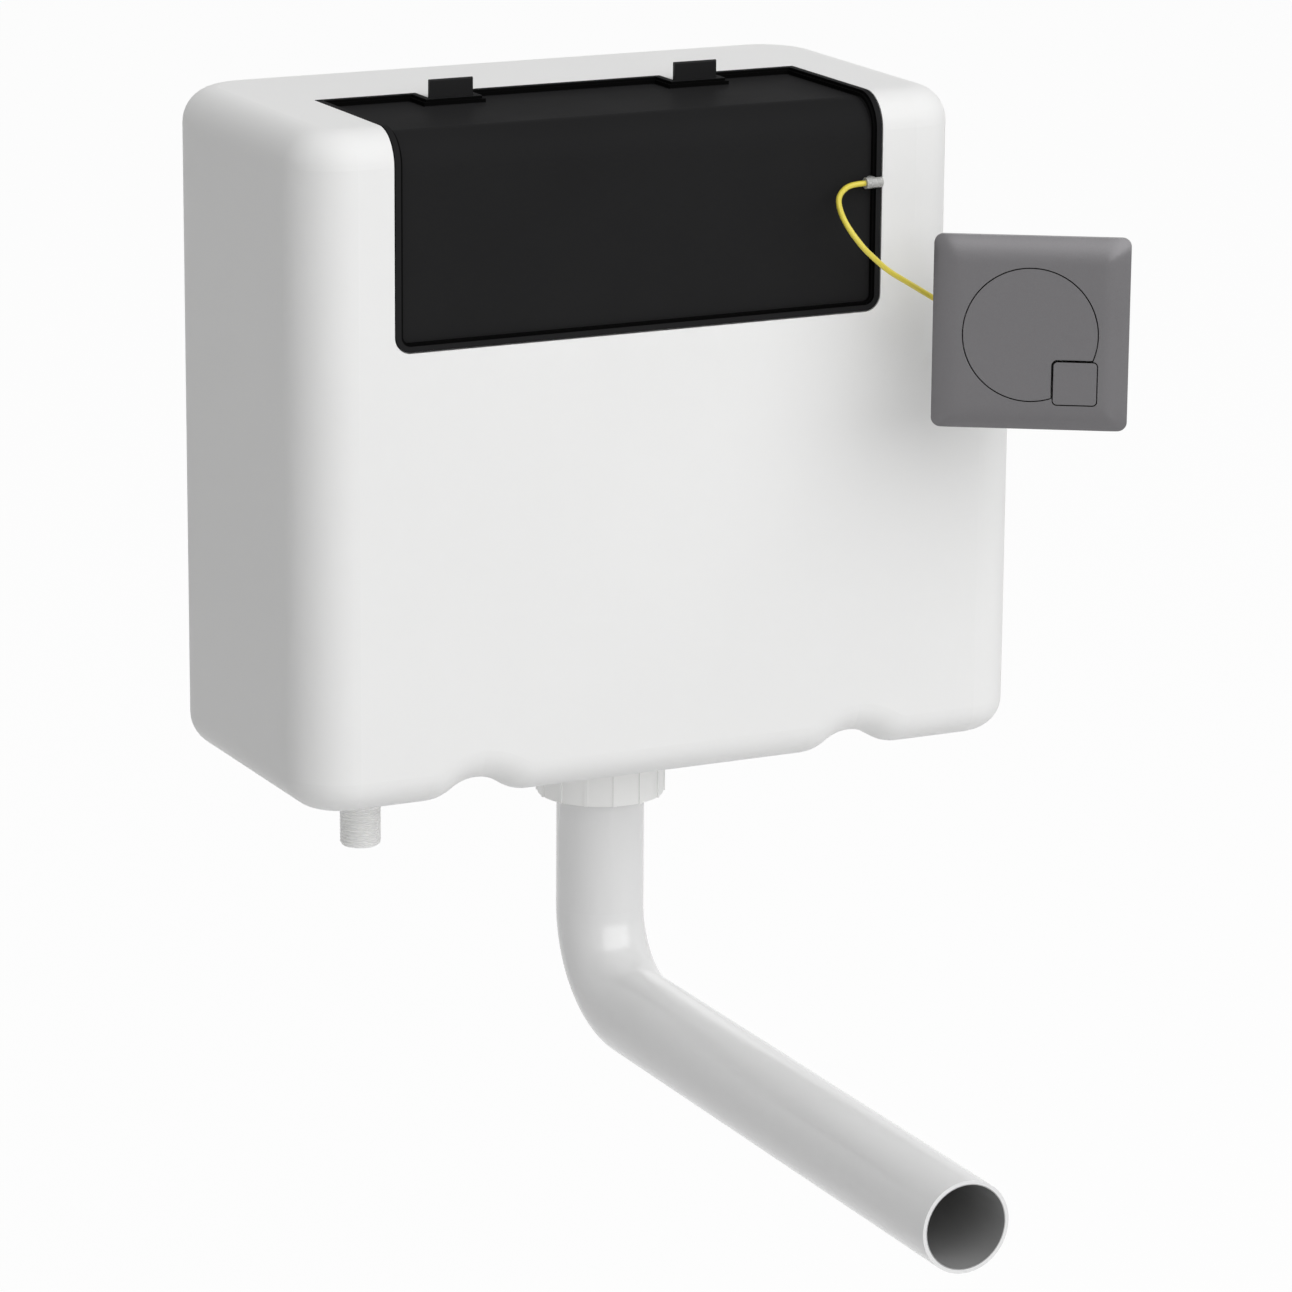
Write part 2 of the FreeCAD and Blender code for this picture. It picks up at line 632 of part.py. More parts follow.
def main_float():
    """Inverted cup that traps air and keeps the valve up until the tank has emptied."""
    z = BOTTOM + MAIN_FLOAT_BASE
    cup = tube((0, OUTLET_Y, z), Z_AXIS, MAIN_FLOAT_H, MAIN_FLOAT_R, OVERFLOW_R)
    hollow = tube((0, OUTLET_Y, z), Z_AXIS, MAIN_FLOAT_H - 2.0, MAIN_FLOAT_R - 2.0, OVERFLOW_R + 2.0)
    return cup.cut(hollow)


def half_flush_float():
    z = BOTTOM + HALF_FLOAT_BASE
    return lathe(0, OUTLET_Y, [(OVERFLOW_R, z), (HALF_FLOAT_R, z), (HALF_FLOAT_R, z + HALF_FLOAT_H - 3.0),
                               (HALF_FLOAT_R - 3.0, z + HALF_FLOAT_H), (OVERFLOW_R, z + HALF_FLOAT_H)])


def lift_collar():
    return tube((0, OUTLET_Y, COLLAR_BASE), Z_AXIS, COLLAR_T, COLLAR_R, OVERFLOW_R)


def valve_head():
    """Bridge on the cage that guides the overflow tube and carries the lever and the cable anchor."""
    head = tube((0, OUTLET_Y, CAGE_TOP), Z_AXIS, 5.0, VALVE_FLANGE_R, OVERFLOW_R + FLOAT_SLIDE_GAP)
    for side in (-1, 1):
        y_in = OUTLET_Y + side * (LEVER_OUT_Y + EAR_GAP)
        y0, y1 = sorted((y_in, y_in + side * EAR_T))
        ear = box(LEVER_PIVOT_X - EAR_R, LEVER_PIVOT_X + EAR_R, y0, y1, CAGE_TOP, LEVER_LEVEL)
        ear = ear.fuse(rod((LEVER_PIVOT_X, y0, LEVER_LEVEL), Y_AXIS, y1 - y0, EAR_R))
        foot = box(VALVE_FLANGE_R - 16.0, LEVER_PIVOT_X + EAR_R, y0, y1, CAGE_TOP, CAGE_TOP + 5.0)
        head = head.fuse(ear).fuse(foot)
    shelf = box(VALVE_FLANGE_R - 5.0, ANCHOR_X + ANCHOR_R + 2.0, OUTLET_Y - LEVER_OUT_Y - EAR_GAP,
                OUTLET_Y + LEVER_OUT_Y + EAR_GAP, CAGE_TOP, CAGE_TOP + 5.0)
    head = head.fuse(shelf)
    head = head.cut(rod((LEVER_PIVOT_X, OUTLET_Y - 60, LEVER_LEVEL), Y_AXIS, 120, PIN_R))
    return head.cut(rod((ANCHOR_X, OUTLET_Y, CAGE_TOP - 1), Z_AXIS, 7.0, ANCHOR_R)).removeSplitter()


def lever_pin():
    reach = LEVER_OUT_Y + EAR_GAP + EAR_T + PIN_END
    return rod((LEVER_PIVOT_X, OUTLET_Y - reach, LEVER_LEVEL), Y_AXIS, 2 * reach, PIN_R)


def lift_lever():
    """Fork that lifts the collar on one side of the pin, with the cable pulling the other side down."""
    z0, z1 = LEVER_LEVEL - LEVER_T / 2, LEVER_LEVEL + LEVER_T / 2
    lever = None
    for side in (-1, 1):
        y0, y1 = sorted((OUTLET_Y + side * LEVER_ARM_Y, OUTLET_Y + side * LEVER_OUT_Y))
        arm = box(LEVER_TIP_X, LEVER_TAIL_X, y0, y1, z0, z1)
        boss = rod((LEVER_PIVOT_X, y0, LEVER_LEVEL), Y_AXIS, y1 - y0, LEVER_T)
        lever = arm.fuse(boss) if lever is None else lever.fuse(arm).fuse(boss)
    bridge = box(LEVER_TAIL_X - 8.0, LEVER_TAIL_X, OUTLET_Y - LEVER_OUT_Y, OUTLET_Y + LEVER_OUT_Y, z0, z1)
    slot = WIRE_R + 2 * WIRE_GAP
    bridge = bridge.cut(box(ANCHOR_X - slot, LEVER_TAIL_X + 1, OUTLET_Y - slot, OUTLET_Y + slot,
                            z0 - 1, z1 + 1))
    pin_hole = rod((LEVER_PIVOT_X, OUTLET_Y - 60, LEVER_LEVEL), Y_AXIS, 120, PIN_R + PIN_GAP)
    return lever.fuse(bridge).cut(pin_hole).removeSplitter()


def cable_anchor():
    z0 = ANCHOR_FOOT
    anchor = rod((ANCHOR_X, OUTLET_Y, z0), Z_AXIS, ANCHOR_H, ANCHOR_R)
    collar = tube((ANCHOR_X, OUTLET_Y, z0), Z_AXIS, CAGE_TOP - z0, ANCHOR_R + 1.5, ANCHOR_R)
    return anchor.fuse(collar).cut(rod((ANCHOR_X, OUTLET_Y, z0 + 2.0), Z_AXIS, ANCHOR_H, WIRE_R + WIRE_GAP))


def lift_wire():
    """End of the cable's wire, with the nipple that pulls the lever's tail down."""
    z0 = ANCHOR_FOOT + 2.0 + CABLE_STROKE + VALVE_GAP
    z1 = LEVER_LEVEL + LEVER_T / 2 + VALVE_GAP
    wire = rod((ANCHOR_X, OUTLET_Y, z0), Z_AXIS, z1 - z0 + NIPPLE_H / 2, WIRE_R)
    return wire.fuse(rod((ANCHOR_X, OUTLET_Y, z1), Z_AXIS, NIPPLE_H, NIPPLE_R)).removeSplitter()


# Fill valve
INLET_BASE = FLOOR + GASKET_T
INLET_FLANGE_TOP = INLET_BASE + INLET_FLANGE_T
RISER_END = BOTTOM + RISER_TOP
HEAD_TOP = RISER_END + HEAD_H
ARM_LEVEL = HEAD_TOP - HEAD_H / 2
ARM_PIVOT_Y = OUTLET_Y - HEAD_R - 4.0
ROD_Y = ARM_PIVOT_Y - FLOAT_ARM


def inlet_gasket():
    return tube((INLET_X, OUTLET_Y, FLOOR), Z_AXIS, GASKET_T, INLET_FLANGE_R, INLET_THREAD_R + HOLE_GAP)


def inlet_shank():
    low = BOTTOM - INLET_TAIL
    neck_top = BOTTOM - SLIP_WASHER_T - INLET_NUT_H
    neck_low = neck_top - INLET_NECK
    neck_r = INLET_THREAD_R - INLET_NECK_DEPTH
    return lathe(INLET_X, OUTLET_Y, [
        (INLET_BORE_R, low), (INLET_THREAD_R - INLET_CHAMFER, low), (INLET_THREAD_R, low + INLET_CHAMFER),
        (INLET_THREAD_R, neck_low), (neck_r, neck_low), (neck_r, neck_top), (INLET_THREAD_R, neck_top),
        (INLET_THREAD_R, INLET_BASE), (INLET_FLANGE_R, INLET_BASE), (INLET_FLANGE_R, INLET_FLANGE_TOP),
        (RISER_R, INLET_FLANGE_TOP), (RISER_R, RISER_END), (INLET_BORE_R, RISER_END),
    ])


def inlet_slip_washer():
    return tube((INLET_X, OUTLET_Y, BOTTOM - SLIP_WASHER_T), Z_AXIS, SLIP_WASHER_T, INLET_FLANGE_R - 2.0,
                INLET_THREAD_R + HOLE_GAP)


def inlet_backnut():
    top = BOTTOM - SLIP_WASHER_T
    corner_r = INLET_NUT_AF / 2 / math.cos(math.pi / 6)
    middle = Vec(INLET_X, OUTLET_Y, top - INLET_NUT_H)
    turns = [math.pi * step / 3 for step in range(7)]
    corners = [middle + Vec(math.cos(turn), math.sin(turn), 0) * corner_r for turn in turns]
    nut = Part.Face(Part.makePolygon(corners)).extrude(Vec(0, 0, INLET_NUT_H))
    bore = rod((INLET_X, OUTLET_Y, top - INLET_NUT_H), Z_AXIS, INLET_NUT_H, INLET_THREAD_R + THREAD_GAP)
    return nut.cut(bore)


def fill_valve_head():
    head = rod((INLET_X, OUTLET_Y, RISER_END), Z_AXIS, HEAD_H, HEAD_R)
    for side in (-1, 1):
        x_in = INLET_X + side * (FLOAT_ARM_W / 2 + EAR_GAP)
        x0, x1 = sorted((x_in, x_in + side * EAR_T))
        ear = box(x0, x1, ARM_PIVOT_Y, OUTLET_Y - HEAD_R / 2, ARM_LEVEL - EAR_R, ARM_LEVEL + EAR_R)
        head = head.fuse(ear).fuse(rod((x0, ARM_PIVOT_Y, ARM_LEVEL), X_AXIS, x1 - x0, EAR_R))
    guide = box(INLET_X - 8.0, INLET_X + 8.0, OUTLET_Y + HEAD_R - 4.0, OUTLET_Y + HEAD_R + 2 * DIP_TUBE_R,
                RISER_END, RISER_END + 6.0)
    head = head.fuse(guide)
    head = head.cut(rod((INLET_X - 30, ARM_PIVOT_Y, ARM_LEVEL), X_AXIS, 60, PIN_R))
    socket = rod((INLET_X, OUTLET_Y + HEAD_R + 2.0, RISER_END), Z_AXIS, 4.0, DIP_TUBE_R)
    return head.cut(socket).removeSplitter()


def fill_valve_cap():
    return lugged_ring(INLET_X, OUTLET_Y, HEAD_TOP, HEAD_TOP + CAP_H, HEAD_R, 2.0, 12, 1.2, 4.0)


def diaphragm_button():
    """Small plunger in the cap that the float arm presses through the diaphragm."""
    return rod((INLET_X, OUTLET_Y, HEAD_TOP), Z_AXIS, CAP_H + 1.0, 2.0 - GAP)


def dip_tube():
    """Tube that carries the fresh water down quietly beside the riser."""
    low = INLET_FLANGE_TOP + 20.0
    y = OUTLET_Y + HEAD_R + 2.0
    return tube((INLET_X, y, low), Z_AXIS, RISER_END + 4.0 - low, DIP_TUBE_R, DIP_TUBE_R - 1.0)


def float_cup():
    """Open-bottomed float that slides on the riser."""
    z = BOTTOM + FLOAT_CUP_BASE
    y1 = OUTLET_Y + RISER_R + FLOAT_SLIDE_GAP + FLOAT_SLEEVE_WALL + 1.0
    y0 = ROD_Y - 6.0
    x0, x1 = INLET_X - FLOAT_CUP_HALF, INLET_X + FLOAT_CUP_HALF
    cup = rounded_box(x0, x1, y0, y1, z, z + FLOAT_CUP_H, FLOAT_CUP_CORNER_R)
    wall = FLOAT_CUP_WALL
    hollow = rounded_box(x0 + wall, x1 - wall, y0 + wall, y1 - wall, z - 1, z + FLOAT_CUP_H - wall,
                         FLOAT_CUP_CORNER_R - wall)
    sleeve = rod((INLET_X, OUTLET_Y, z), Z_AXIS, FLOAT_CUP_H, RISER_R + FLOAT_SLIDE_GAP + FLOAT_SLEEVE_WALL)
    cup = cup.cut(hollow).fuse(sleeve)
    bore = rod((INLET_X, OUTLET_Y, z - 1), Z_AXIS, FLOAT_CUP_H + 2, RISER_R + FLOAT_SLIDE_GAP)
    return cup.cut(bore).removeSplitter()


def float_rod():
    """Adjusting rod from the float to the arm, with the stop that pushes the arm up."""
    low = BOTTOM + FLOAT_CUP_BASE + FLOAT_CUP_H
    stop_top = ARM_LEVEL - FLOAT_ARM_T / 2 - FLOAT_ROD_STOP_GAP
    bar = rod((INLET_X, ROD_Y, low), Z_AXIS, ARM_LEVEL + FLOAT_ARM_T + FLOAT_RISE - low, FLOAT_ROD_R)
    return bar.fuse(rod((INLET_X, ROD_Y, stop_top - 4.0), Z_AXIS, 4.0, FLOAT_ROD_STOP_R))


def float_arm():
    """Arm that the float turns about its pin, with a forked end around the rod."""
    z0, z1 = ARM_LEVEL - FLOAT_ARM_T / 2, ARM_LEVEL + FLOAT_ARM_T / 2
    x0, x1 = INLET_X - FLOAT_ARM_W / 2, INLET_X + FLOAT_ARM_W / 2
    arm = box(x0, x1, ROD_Y - 5.0, ARM_PIVOT_Y, z0, z1)
    arm = arm.fuse(rod((x0, ARM_PIVOT_Y, ARM_LEVEL), X_AXIS, FLOAT_ARM_W, FLOAT_ARM_T * 0.8))
    slot = FLOAT_ROD_R + 0.8
    arm = arm.cut(box(INLET_X - slot, INLET_X + slot, ROD_Y - 6.0, ROD_Y + 5.0, z0 - 1, z1 + 1))
    return arm.cut(rod((INLET_X - 30, ARM_PIVOT_Y, ARM_LEVEL), X_AXIS, 60, PIN_R + PIN_GAP)).removeSplitter()


def float_arm_pin():
    reach = FLOAT_ARM_W / 2 + EAR_GAP + EAR_T + PIN_END
    return rod((INLET_X - reach, ARM_PIVOT_Y, ARM_LEVEL), X_AXIS, 2 * reach, PIN_R)


# Flush plate, drawn facing forward about the middle of its front and then turned into place
WIRE_Y = CRANK_Y + CRANK_ARM
PUSH_END_Y = CRANK_Y - CRANK_HALF_WIDTH - CRANK_CLEAR


def to_plate(shape):
    shape = shape.copy()
    shape.rotate(Vec(0, 0, 0), Z_AXIS, PLATE_TURN_DEG)
    shape.translate(Vec(PLATE_X, PLATE_Y, PLATE_Z))
    return shape


def pillow(inset, y_shift, y_back):
    """Square block whose front is flat in the middle and curls back smoothly to its edges."""
    half = PLATE_SIZE / 2 - inset
    flat = PLATE_SIZE / 2 - PLATE_EDGE_REACH

    def curl(place):
        beyond = max(abs(place) - flat, 0.0)
        return PLATE_EDGE_DROP * (beyond / (half - flat)) ** PLATE_CURL

    spread = half + 1.0
    places = [spread * (2 * step / PLATE_STEPS - 1) for step in range(PLATE_STEPS + 1)]
    front = Part.BSplineSurface()
    front.interpolate([[Vec(x, y_shift + math.hypot(curl(x), curl(z)), z) for x in places] for z in places])
    block = front.toShape().extrude(Vec(0, 3 * PLATE_THICK, 0))
    corner = max(PLATE_CORNER_R - inset, 1.0)
    return block.common(rounded_box(-half, half, -1, y_back, -half, half, corner, Y_AXIS))


def half_button_block(grow, y0, y1):
    half = HALF_BUTTON_SIZE / 2 + grow
    return rounded_box(HALF_BUTTON_X - half, HALF_BUTTON_X + half, y0, y1, HALF_BUTTON_Z - half,
                       HALF_BUTTON_Z + half, HALF_BUTTON_CORNER_R + grow, Y_AXIS)


def flush_plate():
    plate = pillow(0.0, 0.0, PLATE_THICK).cut(pillow(PLATE_RIM, PLATE_SKIN, PLATE_THICK + 1))
    plate = plate.cut(rod((0, -1, 0), Y_AXIS, PLATE_THICK + 2, FULL_BUTTON_R))
    return plate.cut(half_button_block(0.0, -1, PLATE_THICK + 1))


def full_flush_button():
    disc = rod((0, 0, 0), Y_AXIS, BUTTON_T, FULL_BUTTON_R - BUTTON_GAP)
    disc = disc.cut(half_button_block(BUTTON_GAP, -1, BUTTON_T + 1))
    post = rod((FULL_POST_X, BUTTON_T, 0), Y_AXIS, FULL_NOSE_Y - BUTTON_T, FULL_POST_R)
    nose = rod((FULL_POST_X, FULL_NOSE_Y, 0), Y_AXIS, PUSH_END_Y - FULL_NOSE_Y, FULL_NOSE_R)
    return disc.fuse(post).fuse(nose).removeSplitter()


def half_flush_button():
    """Small square button with the arm that reaches its push pin over to the barrel."""
    block = half_button_block(-BUTTON_GAP, 0, BUTTON_T)
    stem = rod((HALF_BUTTON_X, BUTTON_T, HALF_BUTTON_Z), Y_AXIS, HALF_ARM_Y + HALF_ARM_T - BUTTON_T, 3.0)
    start, end = Vec(HALF_BUTTON_X, HALF_ARM_Y, HALF_BUTTON_Z), Vec(FULL_POST_X, HALF_ARM_Y, HALF_PIN_Z)
    length = (end - start).Length
    arm = box(-3.0, length + 3.0, 0, HALF_ARM_T, -3.0, 3.0)
    arm.rotate(Vec(0, 0, 0), Y_AXIS, math.degrees(math.atan2(start.z - end.z, end.x - start.x)))
    arm.translate(start)
    pin = rod((FULL_POST_X, HALF_ARM_Y, HALF_PIN_Z), Y_AXIS, PUSH_END_Y - HALF_ARM_Y, HALF_PIN_R)
    clear = rod((FULL_POST_X, HALF_ARM_Y - 1, 0), Y_AXIS, HALF_ARM_T + 2, FULL_SPRING_R + 1.0)
    return block.fuse(stem).fuse(arm).fuse(pin).cut(clear).removeSplitter()


def button_carrier():
    """Dish behind the plate that guides both buttons and ends in the threaded barrel."""
    flange_half, outer = DISH_FLANGE / 2, DISH_OUTER / 2
    inner = outer - DISH_WALL
    back = DISH_FLOOR_Y + DISH_WALL
    flange = rounded_box(-flange_half, flange_half, PLATE_THICK, PLATE_THICK + DISH_WALL,
                         -flange_half, flange_half, 4.0, Y_AXIS)
    dish = rounded_box(-outer, outer, PLATE_THICK, back, -outer, outer, 6.0, Y_AXIS)
    room = rounded_box(-inner, inner, PLATE_THICK - 1, DISH_FLOOR_Y, -inner, inner, 4.0, Y_AXIS)
    barrel = tube((0, DISH_FLOOR_Y, 0), Y_AXIS, BARREL_BACK_Y - DISH_FLOOR_Y, BARREL_R,
                  BARREL_R - BARREL_WALL)
    carrier = flange.fuse(dish).cut(room).fuse(barrel)
    hole_y = DISH_FLOOR_Y - 1
    carrier = carrier.cut(rod((FULL_POST_X, hole_y, 0), Y_AXIS, 5.0, FULL_POST_R + POST_GAP))
    carrier = carrier.cut(rod((FULL_POST_X, hole_y, HALF_PIN_Z), Y_AXIS, 5.0, HALF_PIN_R + POST_GAP))
    carrier = carrier.cut(rod((0, WIRE_Y, CABLE_HEAD_Z), X_AXIS * -1, BARREL_R + 2, GLAND_R))
    pin_reach = math.sqrt((BARREL_R - BARREL_WALL / 2) ** 2 - CRANK_X ** 2)
    return carrier.cut(rod((CRANK_X, CRANK_Y, -pin_reach), Z_AXIS, 2 * pin_reach, PIN_R)).removeSplitter()


def panel_gasket():
    return tube((0, DISH_FLOOR_Y + DISH_WALL, 0), Y_AXIS, PANEL_GASKET_T, BARREL_R + 9.0,
                BARREL_R + THREAD_GAP)


def panel_nut():
    nut = lugged_ring(0, 0, 0, PANEL_NUT_H, PANEL_NUT_R, BARREL_R + THREAD_GAP, PANEL_NUT_LUGS, 3.0, 9.0)
    nut.rotate(Vec(0, 0, 0), X_AXIS, -90)
    nut.translate(Vec(0, DISH_FLOOR_Y + DISH_WALL + PANEL_GASKET_T, 0))
    return nut


def barrel_cap():
    return rod((0, BARREL_BACK_Y, 0), Y_AXIS, BARREL_CAP_T, BARREL_R)


def crank_pin():
    reach = math.sqrt((BARREL_R - BARREL_WALL / 2) ** 2 - CRANK_X ** 2)
    return rod((CRANK_X, CRANK_Y, -reach), Z_AXIS, 2 * reach, PIN_R)


def crank(z):
    """Bell crank: a button pushes one arm back and the other arm pulls the cable sideways."""
    x, y, wide, half = CRANK_X, CRANK_Y, CRANK_HALF_WIDTH, CRANK_T / 2
    push = box(FULL_POST_X - wide, x, y - wide, y + wide, z - half, z + half)
    pull = box(x - wide, x + wide, y, y + CRANK_ARM + wide, z - half, z + half)
    boss = rod((x, y, z - half), Z_AXIS, CRANK_T, PIN_R + 2.5)
    pin_hole = rod((x, y, z - half - 1), Z_AXIS, CRANK_T + 2, PIN_R + PIN_GAP)
    return push.fuse(pull).fuse(boss).cut(pin_hole).removeSplitter()


def cable_yoke():
    """Bar that both cranks push, with the cable's wire fixed to it."""
    x0 = CRANK_X + CRANK_HALF_WIDTH + CRANK_CLEAR
    y0 = WIRE_Y - YOKE_HEIGHT / 2
    bar = box(x0, x0 + YOKE_T, y0, y0 + YOKE_HEIGHT, -CRANK_T, CABLE_HEAD_Z + 3.0)
    lug = box(YOKE_LUG_X, YOKE_LUG_X + YOKE_LUG_T, y0, y0 + YOKE_HEIGHT, HALF_PIN_Z - CRANK_T / 2, 0)
    bridge = box(x0, YOKE_LUG_X + YOKE_LUG_T, y0, y0 + YOKE_HEIGHT, -CRANK_T - 1.5, -CRANK_T)
    wire_x = x0 + YOKE_T / 2
    wire = rod((wire_x, WIRE_Y, CABLE_HEAD_Z), X_AXIS * -1, wire_x + GLAND_REACH - 2.0, WIRE_R)
    return bar.fuse(lug).fuse(bridge).fuse(wire).removeSplitter()


def cable_gland():
    root = (-BARREL_R + BARREL_WALL, WIRE_Y, CABLE_HEAD_Z)
    length = GLAND_REACH - BARREL_R + BARREL_WALL
    gland = rod(root, X_AXIS * -1, length, GLAND_R)
    return gland.cut(rod(root, X_AXIS * -1, length - 1.0, WIRE_R + WIRE_GAP))


def plate_point(x, y, z):
    point = FreeCAD.Rotation(Z_AXIS, PLATE_TURN_DEG).multVec(Vec(x, y, z))
    return point + Vec(PLATE_X, PLATE_Y, PLATE_Z)


# Cables
def cable(points, label):
    path, radii = rounded_path(points)
    solid = sweep(path, CABLE_R)
    expected = math.pi * CABLE_R ** 2 * path.Length
    print(label, "length", round(path.Length, 1), "radii", [round(radius, 1) for radius in radii],
          "volume ratio", round(solid.Volume / expected, 4))
    return solid


def main():
    mouth, inner_end = elbow_path()[1:]
    gland_end = plate_point(-GLAND_REACH, WIRE_Y, CABLE_HEAD_Z)
    anchor_foot = Vec(ANCHOR_X, OUTLET_Y, ANCHOR_FOOT)
    full_spring = spring((FULL_POST_X, BUTTON_T + SEAT_GAP, 0), Y_AXIS,
                         DISH_FLOOR_Y - BUTTON_T - 2 * SEAT_GAP, FULL_SPRING_R, FULL_SPRING_WIRE_R)
    arm_back = HALF_ARM_Y + HALF_ARM_T
    half_spring = spring((HALF_BUTTON_X, arm_back + SEAT_GAP, HALF_BUTTON_Z), Y_AXIS,
                         DISH_FLOOR_Y - arm_back - 2 * SEAT_GAP, HALF_SPRING_R, HALF_SPRING_WIRE_R)
    nodes = {
        "tank": tank(),
        "access_cover": access_cover(),
        "cable_elbow": cable_elbow(),
        "cover_clip_left": cover_clip(CLIP_XS[0]),
        "cover_clip_right": cover_clip(CLIP_XS[1]),
        "outlet_slip_washer": outlet_slip_washer(),
        "outlet_backnut": outlet_backnut(),
        "coupling_nut": coupling_nut(),
        "cone_washer": cone_washer(),
        "flush_pipe": flush_pipe(),
        "outlet_gasket": outlet_gasket(),
        "valve_base": valve_base(),
        "valve_cage": valve_cage(),
        "overflow_tube": overflow_tube(),
        "valve_seal": valve_seal(),
        "seal_carrier": seal_carrier(),
        "main_float": main_float(),
        "half_flush_float": half_flush_float(),
        "lift_collar": lift_collar(),
        "valve_head": valve_head(),
        "lever_pin": lever_pin(),
        "lift_lever": lift_lever(),
        "cable_anchor": cable_anchor(),
        "lift_wire": lift_wire(),
        "inlet_gasket": inlet_gasket(),
        "inlet_shank": inlet_shank(),
        "inlet_slip_washer": inlet_slip_washer(),
        "inlet_backnut": inlet_backnut(),
        "fill_valve_head": fill_valve_head(),
        "fill_valve_cap": fill_valve_cap(),
        "diaphragm_button": diaphragm_button(),
        "dip_tube": dip_tube(),
        "float_cup": float_cup(),
        "float_rod": float_rod(),
        "float_arm": float_arm(),
        "float_arm_pin": float_arm_pin(),
        "flush_plate": to_plate(flush_plate()),
        "full_flush_button": to_plate(full_flush_button()),
        "half_flush_button": to_plate(half_flush_button()),
        "button_carrier": to_plate(button_carrier()),
        "panel_gasket": to_plate(panel_gasket()),
        "panel_nut": to_plate(panel_nut()),
        "barrel_cap": to_plate(barrel_cap()),
        "crank_pin": to_plate(crank_pin()),
        "full_flush_crank": to_plate(crank(0.0)),
        "half_flush_crank": to_plate(crank(HALF_PIN_Z)),
        "cable_yoke": to_plate(cable_yoke()),
        "cable_gland": to_plate(cable_gland()),
        "full_button_spring": to_plate(full_spring),
        "half_button_spring": to_plate(half_spring),
        "operating_cable": cable([tuple(mouth)] + CABLE_POINTS + [tuple(gland_end)], "operating cable"),
        "inner_cable": cable([tuple(inner_end)] + INNER_CABLE_POINTS + [tuple(anchor_foot)], "inner cable"),
    }
    os.makedirs("parts", exist_ok=True)
    for name, shape in nodes.items():
        shape.exportStep(os.path.join("parts", name + ".step"))
        bounds = shape.BoundBox
        print(name, "solids", len(shape.Solids), "valid", shape.isValid(), "volume", round(shape.Volume),
              [round(value, 1) for value in (bounds.XMin, bounds.YMin, bounds.ZMin,
                                             bounds.XMax, bounds.YMax, bounds.ZMax)])


main()
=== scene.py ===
import json
import math

import bpy
from mathutils import Matrix, Vector


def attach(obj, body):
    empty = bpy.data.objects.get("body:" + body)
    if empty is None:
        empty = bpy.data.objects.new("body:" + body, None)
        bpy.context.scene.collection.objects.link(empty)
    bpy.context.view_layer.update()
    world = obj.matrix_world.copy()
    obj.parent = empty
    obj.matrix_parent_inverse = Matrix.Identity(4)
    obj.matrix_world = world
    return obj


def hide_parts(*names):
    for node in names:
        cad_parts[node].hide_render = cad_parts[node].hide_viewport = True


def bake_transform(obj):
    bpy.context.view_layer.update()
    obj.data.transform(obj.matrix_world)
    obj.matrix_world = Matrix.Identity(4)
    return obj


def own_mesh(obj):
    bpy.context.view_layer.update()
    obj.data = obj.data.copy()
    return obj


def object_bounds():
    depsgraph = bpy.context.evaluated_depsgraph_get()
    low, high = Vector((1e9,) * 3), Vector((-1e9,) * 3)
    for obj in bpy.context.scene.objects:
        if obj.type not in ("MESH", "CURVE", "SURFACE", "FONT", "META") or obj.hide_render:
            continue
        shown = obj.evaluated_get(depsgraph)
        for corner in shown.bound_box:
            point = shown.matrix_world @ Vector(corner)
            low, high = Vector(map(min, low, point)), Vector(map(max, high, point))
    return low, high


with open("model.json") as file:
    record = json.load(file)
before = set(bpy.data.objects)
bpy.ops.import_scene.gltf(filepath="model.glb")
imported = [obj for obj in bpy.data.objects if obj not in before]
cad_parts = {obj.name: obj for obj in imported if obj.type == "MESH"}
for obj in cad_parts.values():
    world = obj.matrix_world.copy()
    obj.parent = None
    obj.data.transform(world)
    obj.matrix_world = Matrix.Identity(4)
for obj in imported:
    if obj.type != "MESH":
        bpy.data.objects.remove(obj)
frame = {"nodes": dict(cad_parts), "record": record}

CAD_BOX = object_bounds()
MM = 0.001
NODES = frame["nodes"]

# Camera, at the photo's viewing angle
CAMERA_AT = Vector((-1.2574, -2.6943, 0.5350))
VIEW_YAW = 26.318
VIEW_PITCH = 14.806
VIEW_ROLL = 0.432
FOCAL_PIXELS = 5789.4
IMAGE_SIZE = 1292
SENSOR = 36.0
NEAREST, FARTHEST = 0.05, 60.0


def make_camera():
    yaw, pitch, roll = (math.radians(value) for value in (VIEW_YAW, VIEW_PITCH, VIEW_ROLL))
    level = math.cos(pitch)
    forward = Vector((math.sin(yaw) * level, math.cos(yaw) * level, -math.sin(pitch)))
    right = Vector((math.cos(yaw), -math.sin(yaw), 0.0))
    up = right.cross(forward)
    turned_right = right * math.cos(roll) + up * math.sin(roll)
    turned_up = up * math.cos(roll) - right * math.sin(roll)
    data = bpy.data.cameras.new("camera")
    data.sensor_width = SENSOR
    data.lens = FOCAL_PIXELS / IMAGE_SIZE * SENSOR
    data.clip_start, data.clip_end = NEAREST, FARTHEST
    camera = bpy.data.objects.new("camera", data)
    axes = Matrix((turned_right, turned_up, -forward)).transposed().to_4x4()
    camera.matrix_world = Matrix.Translation(CAMERA_AT) @ axes
    bpy.context.scene.collection.objects.link(camera)
    bpy.context.scene.camera = camera


make_camera()


# Smooth tubes: the cables and the springs' wire
TUBE_ROUNDNESS = 5
CABLE_FINENESS, WIRE_FINENESS = 16, 4


